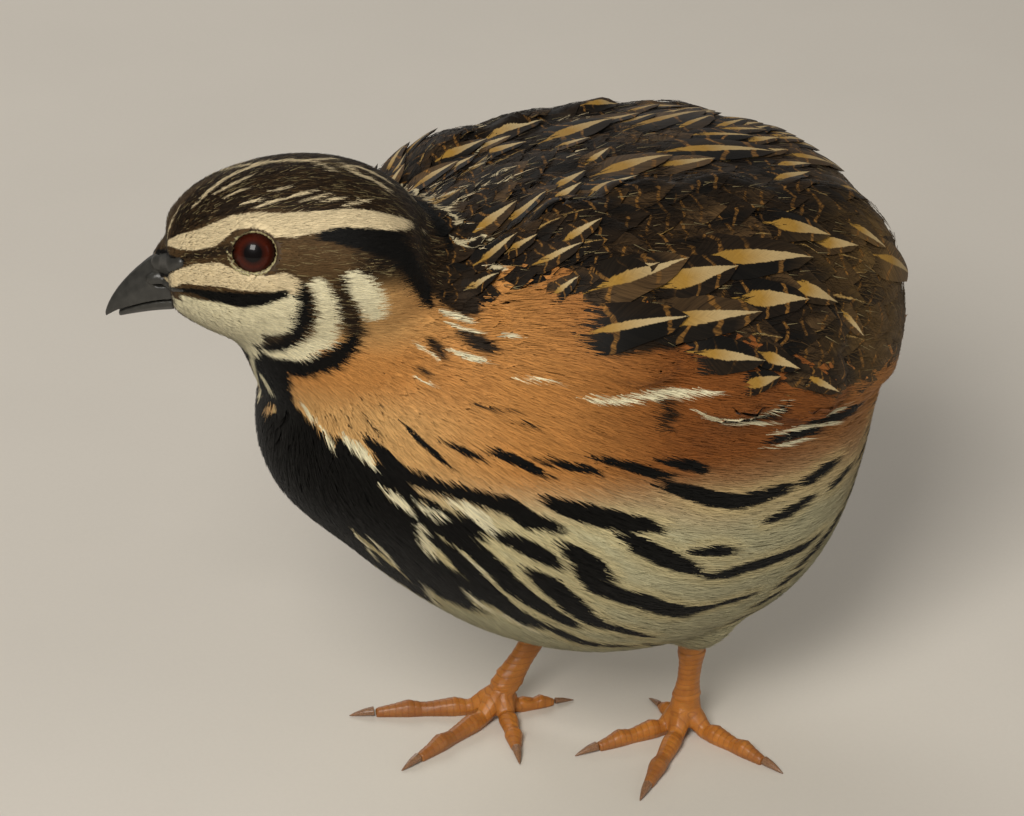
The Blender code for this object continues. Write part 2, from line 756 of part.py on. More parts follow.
def make_foot(name):
    junction, high = FEET[name]
    axis = (high - junction).normalized()
    bm = bmesh.new()
    hub = [junction - UP * 2.6, junction - UP * 1.2, junction + axis * 0.6, junction + axis * 1.9]
    tube(bm, hub, [2.0, 2.5, 2.25, 2.05], SHANK_SEGMENTS, 1.08)
    foot = object_from("foot_" + name, bm, "leg_skin")
    toes = []
    for index, toe in enumerate(TOE_NAMES):
        centres, radii = toe_line(name, index)
        bm = bmesh.new()
        tube(bm, centres, radii, TOE_SEGMENTS)
        toes.append(object_from(f"toe_{name}_{toe}", bm))
        make_claw(name, toe, centres, radii[-1])
    boolean(foot, toes, "UNION")
    remesh = foot.modifiers.new("even", "REMESH")
    remesh.mode = "VOXEL"
    remesh.voxel_size = FOOT_VOXEL
    soften = foot.modifiers.new("soften", "SMOOTH")
    soften.factor = 0.5
    soften.iterations = 3
    applied(foot)
    fewer = foot.modifiers.new("fewer", "DECIMATE")
    fewer.ratio = FOOT_TRIANGLES / (2 * len(foot.data.polygons))
    applied(foot)
    flatten_base(foot)
    return keep_largest(foot)


def flatten_base(obj):
    """Cuts the underside off at floor level, which leaves a flat under each toe."""
    bm = bmesh.new()
    bmesh.ops.create_cube(bm, size=1)
    bmesh.ops.scale(bm, vec=(160, 160, 20), verts=bm.verts)
    bmesh.ops.translate(bm, vec=(0, 0, -10), verts=bm.verts)
    boolean(obj, [object_from("floor_cutter", bm)], "DIFFERENCE")


def make_claw(name, toe, centres, radius):
    """A curved claw whose flat root faces the toe's flat end. It stays just clear of the floor."""
    direction = centres[-1] - centres[-2]
    direction.z = 0
    direction.normalize()
    size = 0.82 if toe == "hind" else 1.0
    root = centres[-1] + direction * GAP
    stations, radii = [], []
    for share in (0, 0.4, 0.75, 1.0):
        thick = min(radius, CLAW_RADIUS) * size * (1 - 0.88 * share**1.5)
        spot = root + direction * (CLAW_LENGTH * size * share)
        spot.z = max(root.z + 0.35 * share - CLAW_DROP * share * share, thick + CLAW_CLEAR)
        stations.append(spot)
        radii.append(thick)
    bm = bmesh.new()
    tube(bm, stations, radii, 7)
    object_from(f"claw_{name}_{toe}", bm, "claw_horn")


def settle_on_origin():
    """Raises the body onto its legs, centres the bird over the origin and scales it to metres."""
    objects = [o for o in bpy.context.scene.objects if o.type == "MESH"]
    for obj in objects:
        if not obj.name.startswith(("foot_", "shank_", "claw_")):
            obj.data.transform(Matrix.Translation(UP * BODY_LIFT))
    points = np.array([v.co for o in objects for v in o.data.vertices])
    low, high = points.min(0), points.max(0)
    shift = Vector((-(low[0] + high[0]) / 2, -(low[1] + high[1]) / 2, -low[2]))
    for obj in objects:
        obj.data.transform(Matrix.Scale(MM, 4) @ Matrix.Translation(shift))


def main():
    clear_scene()
    skin = whole_skin()
    form = tree_of(skin)
    thinned(skin)
    bed = tree_of(skin)
    make_head(skin)
    slice_between(skin, "neck", "plumage_neck", [(*NECK_CUT, 1), (*HEAD_CUT, -1)])
    torso = slice_between(skin, "torso", "plumage_body", [(*NECK_CUT, -1)])
    bpy.data.objects.remove(skin, do_unlink=True)
    make_eyes()
    make_bill()
    for name, side in SIDES:
        make_wing(form, bed, name, side)
    make_tail(torso)
    make_legs(torso)
    settle_on_origin()


main()
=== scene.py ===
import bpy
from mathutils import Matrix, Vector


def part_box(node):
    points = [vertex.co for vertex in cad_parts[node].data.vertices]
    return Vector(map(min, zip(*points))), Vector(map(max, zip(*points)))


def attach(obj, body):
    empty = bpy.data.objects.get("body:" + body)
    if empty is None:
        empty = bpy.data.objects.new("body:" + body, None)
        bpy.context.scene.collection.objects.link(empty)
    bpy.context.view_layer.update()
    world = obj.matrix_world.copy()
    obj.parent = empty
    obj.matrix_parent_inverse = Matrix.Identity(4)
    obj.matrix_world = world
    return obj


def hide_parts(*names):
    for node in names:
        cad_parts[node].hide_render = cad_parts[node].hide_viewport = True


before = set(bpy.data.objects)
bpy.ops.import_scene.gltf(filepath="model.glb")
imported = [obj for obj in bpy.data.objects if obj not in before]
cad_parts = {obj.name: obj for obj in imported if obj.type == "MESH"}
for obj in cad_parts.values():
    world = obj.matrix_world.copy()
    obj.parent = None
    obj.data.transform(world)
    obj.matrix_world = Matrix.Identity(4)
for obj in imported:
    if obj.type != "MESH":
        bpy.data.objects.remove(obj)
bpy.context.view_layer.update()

import math

import bmesh
import bpy
import numpy as np
from bpy.props import FloatProperty, FloatVectorProperty, PointerProperty
from bpy.types import Operator, Panel, PropertyGroup
from mathutils import Matrix, Vector
from mathutils.bvhtree import BVHTree

bl_info = {
    "name": "Standing quail",
    "version": (1, 0, 0),
    "blender": (4, 5, 0),
    "location": "View3D > Sidebar > Quail",
    "description": "Skin, plumage, bill, eyes and feet of a small quail at life size",
    "category": "Object",
}

# Lengths are millimetres in the bird's own frame: it faces -X, its left side is at -Y, and z is up.
MM = 0.001
HEAD_CENTRE = np.array((-54.5, 2.5, 98.5))
HEAD_TURN, HEAD_NOD = 35, 4
BODY_CENTRE = np.array((0, 0, 62.5))
BODY_HALF = np.array((56, 39.5, 41.5))
EYE_PLACE = (2.2, 6.6, 2.7)
EYE_AIM = (0.04, 0.92, 0.33)
EYE_SOCKET = (2.4, 6.6, 3.4)
EYE_RADIUS, BALL_RADIUS, EYE_OPENING = 4.6, 4.1, 3.3
EYE_FILL = 4.5
SIDES = (("left", 1), ("right", -1))
MIRROR = np.array((1, -1, 1))
SEED = 7
# The head's coat roots within HEAD_COAT of its centre, the body's beyond BODY_COAT and above BELLY_LOW.
HEAD_COAT, BODY_COAT, BELLY_LOW = 24, 22, 14
HEAD_BARBS, BODY_BARBS, BACK_BARBS = 45000, 92000, 14000
# Triangles of one body feather, the most that one piece may have, and a feather's patch on the bake map.
VANE_FACES, PIECE_LIMIT, PATCH = 36, 190000, 0.003
# Distances from a stroke where none is near, before and after all strokes are compared.
FAR, NO_MARK = 9.0, 5.0
# Spacing of the plates on legs and toes.
SCUTE = 1.05
LENS, CAMERA_TURN, CAMERA_TILT, CAMERA_AWAY = 164.8, -35, 27, 750
CAMERA_AIM = (-9.8, 3.9, 57.6)


def linear(rgb):
    """A colour given as 0 to 255 on a screen, as the linear values that a shader takes."""
    shares = [c / 255 for c in rgb]
    return tuple(c / 12.92 if c <= 0.04045 else ((c + 0.055) / 1.055) ** 2.4 for c in shares)


def swatch(name, description, rgb):
    return FloatVectorProperty(
        name=name, description=description, subtype="COLOR", size=3, min=0, max=1, default=linear(rgb)
    )


def length_of(name, description, value):
    return FloatProperty(name=name, description=description, default=value, min=0.01)


class QuailColours(PropertyGroup):
    """The bird's colours."""

    black: swatch("Black", "Breast patch, throat lines and flank marks", (9, 8, 6))
    umber: swatch("Umber", "Crown, ear and the darkest brown of the back", (38, 27, 15))
    drab: swatch("Drab", "Grey-brown of the ear and cheek", (90, 68, 41))
    olive: swatch("Olive brown", "Rump and tail", (84, 64, 32))
    ochre: swatch("Ochre", "Feather bars and the warm ends of the streaks", (192, 134, 58))
    gold: swatch("Gold", "Roots of the long pale streaks", (172, 132, 58))
    cream: swatch("Cream", "Brow, streaks and pale feather edges", (232, 210, 150))
    white: swatch("White", "Throat and neck crescent", (240, 230, 192))
    buff: swatch("Buff", "Sides of the breast and upper flank", (196, 136, 72))
    rufous: swatch("Rufous", "Warmest part of the flank", (122, 64, 22))
    belly: swatch("Belly", "Pale underparts", (204, 200, 162))
    horn: swatch("Bill", "Slate of the bill", (34, 33, 30))
    leg: swatch("Leg", "Orange skin of legs and toes", (186, 118, 44))
    claw: swatch("Claw", "Pale horn of the claws", (150, 112, 82))


class QuailCoat(PropertyGroup):
    """Sizes of the coat, in millimetres."""

    head_spacing: length_of("Head spacing", "Distance between the small feathers of the head", 0.62)
    body_spacing: length_of("Body spacing", "Distance between the feathers of breast, flank and belly", 1.5)
    back_spacing: length_of("Back spacing", "Distance between the feathers of back and wings", 3.7)
    body_depth: length_of("Coat depth", "How far the skin lies inside the bird's form on the body", 1.25)
    back_depth: length_of("Back depth", "How far the skin lies inside the form under the wings", 1.7)
    head_depth: length_of("Head depth", "How far the skin lies inside the form on the head", 0.6)


# Marks of the left side, mirrored to the right. Every point is a place and the stroke's half width there.
# Body marks and mantle lines are in the bird's frame, head marks forward, left and up of the head's centre.
# Short dashes down the rear flank, dark feathers and painted shade: the middle of each and its half width.
FLANK_SHADE_DASHES = (
    (15.5, -23, 24, 0.9), (18, -26.5, 28, 1.2), (20.5, -28.8, 32, 1.3), (23.5, -29.9, 35.2, 1.4),
    (26.5, -29.9, 37.4, 1.4), (29.8, -28.9, 39.7, 1.3), (32.6, -28, 42.8, 1.3), (34.2, -28, 46.8, 1.2),
    (35, -29, 51, 1), (36, -29.5, 55.5, 0.8), (37, -29.5, 60, 0.6),
)


def dash(x, y, z, half):
    """Stroke of a short dash that rises a little to the rear."""
    before = (round(x - 2.6, 1), round(y - 0.5, 1), round(z - 0.6, 1), 0.4)
    return before, (x, y, z, half), (round(x + 2.9, 1), round(y + 1.2, 1), round(z + 1, 1), 0.3)


BODY_MARKS = (
    ("black", ((-58, 2, 80, 4), (-58, 1, 70, 6.5), (-55, -1, 60, 8), (-50, -3, 51, 7), (-43, -5, 42, 5),
      (-36, -7, 35, 2.5))),
    ("black", ((-58.2, -2.9, 80.7, 2.7), (-56.2, -0.2, 74.3, 3.7), (-56.2, -3.3, 69.5, 4.5),
      (-54.7, -8.8, 65.4, 5.3), (-51.8, -13, 61.2, 5.3), (-47.1, -15.6, 55.7, 4.8),
      (-41.6, -14.6, 47.9, 3.5), (-37.2, -11.2, 41.1, 1.3))),
    ("black", ((-53.6, -10.6, 68.4, 3.2), (-50.6, -15.5, 65.4, 4), (-46.7, -19.2, 61.5, 3.5),
      (-41.8, -22.7, 58.6, 2.4), (-37.8, -26, 57.7, 1.9))),
    ("black", ((-50.1, -14.7, 72.1, 0.56), (-48.8, -17, 70.3, 1.1), (-46.6, -19.7, 67, 1.3),
      (-42.2, -23.4, 65.2, 1), (-38, -26.7, 63.7, 0.96), (-33.7, -29.7, 62.1, 0.96),
      (-31, -31.1, 59.3, 1.1), (-27.4, -33, 57.8, 0.48))),
    ("black", ((-54.6, 7.2, 72.1, 0.96), (-56.4, 2.7, 67.9, 1.1), (-56.3, -1.5, 63.7, 1.1))),
    ("white", ((-59.8, 1.5, 82.7, 0.48), (-57.6, 4.1, 78, 0.96), (-54, 9.6, 69.5, 0.32))),
    ("white", ((-58.1, 1.3, 78.4, 0.64), (-57, 0.3, 76, 0.72))),
    ("ochre", ((-55.8, 4.7, 70, 0.64), (-55.9, 1.6, 72, 0.72))),
    ("white", ((-55.4, -5.7, 76, 0.32), (-54.5, -6.5, 73.7, 0.48), (-54.1, -8, 72.3, 0.24))),
    ("white", ((-53.9, -8.4, 72.2, 0.32), (-53.6, -9.9, 70.7, 0.56), (-53.3, -10.9, 69.4, 0.24))),
    ("white", ((-52.3, -11.9, 71.5, 0.4), (-51, -14.3, 70.1, 0.88), (-49.6, -16.6, 67.8, 0.4))),
    ("white", ((-48.6, -17.8, 64, 0.32), (-47, -19.1, 62.4, 0.96), (-45.2, -20.2, 60.4, 0.32))),
    ("white", ((-44.9, -20.9, 62, 0.24), (-43.2, -22, 60.4, 0.72), (-41.5, -23.4, 60.2, 0.32))),
    ("white", ((-41.5, -23.9, 62.8, 0.32), (-39.2, -25.7, 61.7, 0.8), (-37.3, -26.9, 60.1, 1.1),
      (-35.6, -27.6, 57.4, 0.8))),
    ("white", ((-49.6, -10.1, 54.4, 0.24), (-47.3, -9.9, 51.7, 0.4), (-43.3, -7, 46.2, 0.24))),
    ("white", ((-47.4, -12.3, 53.1, 0.24), (-45, -12, 50.3, 0.48), (-42.5, -11, 46.9, 0.24))),
    ("white", ((-43.7, -20.6, 57.9, 0.48), (-42.1, -19.6, 53.3, 1.1), (-38.8, -17.3, 46.5, 0.64))),
    ("white", ((-41.4, -21.6, 55.2, 0.48), (-38.7, -22.5, 52.2, 1.2), (-35.7, -23.5, 49, 1.2),
      (-33.3, -23.5, 45.9, 0.4))),
    ("black", ((-39.7, -23.4, 55.5, 0.8), (-37, -25.1, 53.6, 1.1), (-33.7, -25.8, 49.8, 1.4),
      (-30.6, -25.8, 45.6, 1.4), (-26.5, -26.2, 41.6, 1.1), (-21.7, -26.3, 37.5, 0.8),
      (-18.8, -26.2, 35.2, 0.4))),
    ("black", ((-41, -18.7, 50.6, 0.72), (-37.8, -19.5, 47.1, 1.4), (-34.3, -19.8, 43.4, 1.3),
      (-31.3, -20.9, 41.1, 0.8), (-27.7, -22.5, 38.9, 0.96), (-23, -22.6, 34.9, 0.64))),
    ("black", ((-38, -15.9, 44.5, 0.8), (-34.6, -14.1, 39.8, 1.6), (-31.9, -16.2, 38.3, 1.1),
      (-30.4, -18.5, 38.3, 0.48))),
    ("white", ((-35.6, -19, 44.1, 0.32), (-33.5, -18.6, 41.5, 0.8), (-30.8, -19, 39, 0.48))),
    ("white", ((-37.2, -12.4, 41.6, 0.4), (-32.9, -7.4, 35.6, 0.56), (-29.4, -4.7, 31.9, 0.32))),
    ("white", ((-30.9, -18.7, 38.9, 0.32), (-27.2, -20.5, 36.8, 0.64), (-22.2, -20.2, 32.5, 0.64))),
    ("black", ((-35, -27.8, 56.7, 0.4), (-32.4, -29.3, 55.5, 1), (-29.6, -30.5, 53.4, 1.2),
      (-26.4, -31.6, 50.8, 0.56))),
    ("black", ((-29.8, -28.7, 49.5, 0.4), (-26.9, -29.4, 46.8, 1.4), (-23.7, -29.4, 43.3, 1.3),
      (-19.5, -28.4, 38.3, 1), (-15.3, -28, 34.9, 0.72), (-10.5, -28.1, 32.5, 0.56),
      (-4.6, -26.3, 28.6, 0.24))),
    ("black", ((-49.6, -13.8, 75.8, 0.16), (-49.2, -14.9, 74.4, 0.36), (-48.6, -16.2, 73.1, 0.24))),
    ("black", ((-45.8, -18.3, 75.2, 0.16), (-44.7, -20.1, 73.1, 0.44), (-43.1, -22, 71.2, 0.48),
      (-41.4, -23.8, 68.9, 0.4), (-40.5, -24.7, 68, 0.16))),
    ("black", ((-41.9, -22.7, 72.5, 0.16), (-39.7, -24.7, 71.5, 0.48), (-38.2, -26.1, 70.5, 0.64),
      (-36.7, -27.2, 69.8, 0.32))),
    ("black", ((-42.6, -20.7, 56.4, 0.3), (-39.6, -22, 53, 0.9), (-36.5, -22.5, 48.8, 1.2),
      (-30.9, -22.4, 42, 1.3), (-24.6, -21.6, 35.3, 0.9))),
    ("black", ((-40.6, -19.2, 50.5, 0.5), (-37.3, -18.1, 45.3, 1.5), (-33.6, -16.6, 40.2, 0.9))),
    ("black", ((-46.4, -18.2, 58.4, 0.8), (-43.2, -17.1, 52, 1.3), (-39.5, -16.4, 46.7, 0.8))),
    ("black", ((-22, -23.6, 34.5, 0.3), (-16.8, -22.4, 30.5, 0.7), (-12.8, -21.9, 28, 0.8),
      (-5.9, -22.8, 25.9, 0.4))),
    ("black", ((-37.1, -26.7, 71.1, 0.24), (-34.9, -28.3, 70.6, 0.72), (-32.7, -29.9, 69.6, 0.8),
      (-30.2, -31.6, 67.9, 0.8), (-28.9, -32.4, 67.2, 0.32))),
    ("black", ((-30.1, -31.5, 69.3, 0.4), (-27.6, -32.9, 68.9, 0.72), (-24.9, -34.3, 68, 0.72),
      (-21.3, -35.9, 66.9, 0.4))),
    ("black", ((-22.9, -34.9, 69.5, 0.32), (-20.3, -36, 68.5, 0.64), (-16.7, -37.3, 66.9, 0.8),
      (-12.8, -38.4, 65, 0.64), (-10.3, -38.9, 64.1, 0.32))),
    ("black", ((-12.8, -38.1, 67.3, 0.24), (-9.3, -38.8, 66.1, 0.8), (-6, -39.3, 64.6, 0.88),
      (-3.5, -39.6, 63.1, 0.32))),
    ("black", ((-36.7, -24.9, 77.8, 0.12), (-34.7, -26.5, 77.4, 0.32), (-31.5, -28.7, 77, 0.16))),
    ("black", ((-32.3, -28.8, 75.4, 0.12), (-30.8, -29.8, 75.1, 0.28), (-29.1, -30.8, 74.8, 0.12))),
    ("black", ((-29.4, -32.3, 63.1, 0.32), (-27.1, -33.5, 61.8, 0.96), (-23.5, -35.1, 60, 1.2),
      (-19.8, -36.4, 58.4, 1.3), (-15, -37.7, 56.6, 1.1), (-11.9, -38.2, 55.2, 0.4))),
    ("black", ((-12, -38.6, 63, 0.4), (-7.7, -39.3, 60.9, 0.96), (-3, -39.6, 58.2, 1.2),
      (3, -39.4, 55.8, 1.1), (8.2, -39, 55.3, 1.2), (13.2, -38.4, 54.9, 0.64))),
    ("black", ((-17.7, -36.7, 55.4, 0.48), (-14.5, -37.1, 52.5, 1.2), (-10.8, -37.4, 49.7, 1.4),
      (-6.3, -37.2, 46.6, 1.2), (-1.8, -36.4, 43.4, 0.4))),
    ("black", ((-5.9, -38, 49.3, 0.32), (-2.6, -38, 48.5, 0.88), (0.5, -37.8, 47.4, 1),
      (3, -37.4, 46, 0.4))),
    ("black", ((-1.7, -36.2, 42.9, 0.4), (3.2, -35.8, 41.7, 1.1), (8.5, -35.4, 41.1, 1.1),
      (14.2, -34.5, 40.3, 0.96), (20.5, -32.8, 39.4, 0.72), (24, -32.3, 40.6, 0.4))),
    ("black", ((-26, -32.9, 54.2, 0.56), (-23.6, -33.5, 52, 1.2), (-20.5, -33.9, 48.9, 1.3),
      (-18.2, -34, 46.6, 0.4))),
    ("black", ((-23.9, -32.8, 50.4, 0.48), (-20.3, -32.7, 45.8, 1.3), (-16.2, -33.1, 42.9, 1.2),
      (-11.6, -33.5, 40.5, 1.3), (-6.7, -32.7, 37.2, 1.5), (-1.5, -31.8, 34.5, 1.4),
      (2.7, -31.8, 34.1, 0.56), (7.3, -31.5, 33.6, 0.48), (11.8, -30.9, 32.9, 0.32))),
    ("black", ((-25.3, -30, 46, 0.64), (-22.3, -29.6, 42.2, 1.2), (-18.9, -28.7, 38.2, 1.1),
      (-16.1, -28.6, 36.2, 0.4))),
    ("black", ((-4.2, -23.7, 26.2, 0.16), (0.6, -19.9, 22.5, 0.32), (2.7, -20, 22.2, 0.16))),
    ("black", ((16, -38, 54.5, 0.64), (18.8, -37.4, 54.7, 1.1), (22.3, -36.5, 54.9, 0.96),
      (24.9, -35.7, 55.1, 0.32))),
    ("black", ((8.4, -38.2, 50.2, 0.32), (12.3, -37.7, 49.9, 0.88), (16.3, -37.2, 50.4, 0.96),
      (19, -36.7, 50.9, 0.4))),
    ("black", ((23.4, -35.4, 50.1, 0.48), (26.6, -34.3, 50.8, 0.72), (29.7, -33, 51.5, 0.4))),
    # Dark feathers and painted shade along the lower rear edge of the flank.
    *(("black", dash(*middle)) for middle in FLANK_SHADE_DASHES),
    ("white", ((-22.3, -32.7, 78.1, 0.24), (-18.3, -34.1, 77.6, 0.48), (-13.5, -35.2, 77.5, 0.72),
      (-8.5, -36.2, 76.9, 0.8), (-2.3, -37, 75.6, 0.24))),
    ("white", ((-4.7, -37.3, 74.7, 0.24), (-1.7, -37.8, 73.2, 0.56), (2.5, -38.2, 71.9, 0.56),
      (7.4, -38.1, 71.3, 0.56), (10.9, -37.9, 71.4, 0.32))),
    ("black", ((-1.2, -38.3, 71.7, 0.2), (2.4, -38.4, 71, 0.48), (6.7, -38.4, 70.3, 0.24))),
    ("black", ((5.8, -38.2, 71.2, 0.24), (8.4, -38.2, 70.9, 0.72), (11.1, -38, 70.9, 0.32))),
    ("white", ((-0.9, -38.5, 70.8, 0.16), (4.2, -38.6, 69.7, 0.32), (9.2, -38.5, 69.2, 0.24))),
    ("black", ((14.9, -38.3, 66.8, 0.24), (18.6, -37.9, 65.3, 0.72), (23.5, -36.8, 64.2, 0.8),
      (28.3, -35.1, 63.8, 0.64))),
    ("white", ((15.4, -38.1, 67.9, 0.16), (19.8, -37.6, 66.3, 0.32), (24.8, -36.4, 65.7, 0.24))),
    ("black", ((7.2, -39.2, 65.1, 0.32), (10.9, -39, 64.8, 0.72), (15.2, -38.5, 64.2, 0.72),
      (18.9, -37.9, 63, 0.4))),
    ("white", ((8.8, -39, 66.1, 0.16), (14.1, -38.5, 65.5, 0.4), (22.8, -37, 63.2, 0.24))),
    ("white", ((7.3, -39.3, 64, 0.16), (11.9, -39, 63.2, 0.4), (16.6, -38.4, 62.3, 0.16))),
    ("umber", ((-18.6, -29.8, 85.3, 1.1), (-16.7, -30.7, 84.6, 2.1), (-14, -31.7, 84, 1.6),
      (-10.6, -32.5, 83.6, 1.3))),
    ("umber", ((-9.9, -36.3, 76.1, 0.8), (-10.2, -37, 74.1, 1.4), (-11.3, -37.5, 71.9, 0.64))),
    ("umber", ((-35.4, -19.5, 87.5, 0.64), (-33.8, -21.5, 86.6, 1.4), (-32.7, -23.1, 85.6, 1.1))),
    ("white", ((-37.6, -19.6, 85.5, 0.24), (-35.8, -21.7, 84.5, 0.56), (-33.1, -24.1, 83.9, 0.24))),
    ("umber", ((-39.8, -17.5, 86.8, 0.48), (-38.9, -18.7, 85.4, 0.88), (-38.5, -19.8, 84.3, 0.4))),
    ("white", ((-40.4, -17.8, 85.4, 0.12), (-39.6, -18.8, 84.4, 0.24), (-39.2, -19.7, 83.5, 0.12))),
    ("umber", ((-42.3, -17.7, 83.2, 0.24), (-41.4, -18.7, 82.2, 0.48), (-40.7, -19.8, 81.4, 0.24))),
    ("white", ((-43.1, -17.7, 81.9, 0.16), (-42, -19, 81, 0.32), (-41, -20.2, 80.5, 0.16))),
    ("white", ((-30.9, -23.1, 87.1, 0.16), (-29.6, -23.8, 87.1, 0.4), (-28.6, -24.6, 86.8, 0.16))),
    ("white", ((-30.2, -27.3, 81.5, 0.16), (-27.6, -28.8, 81.4, 0.32), (-25.1, -30.2, 81, 0.16))),
    ("white", ((-42.4, -16.4, 86.9, 0.12), (-41.4, -17.1, 85.9, 0.24), (-40.3, -18.1, 84.8, 0.12))),
    ("white", ((-37.1, -16.3, 90.6, 0.24), (-35.3, -17.6, 89.6, 0.48), (-33.2, -19.8, 88.9, 0.32))),
    ("white", ((-36.6, -17.6, 88.9, 0.12), (-35.1, -19.2, 88.2, 0.28), (-33.2, -21.1, 87.6, 0.16))),
)
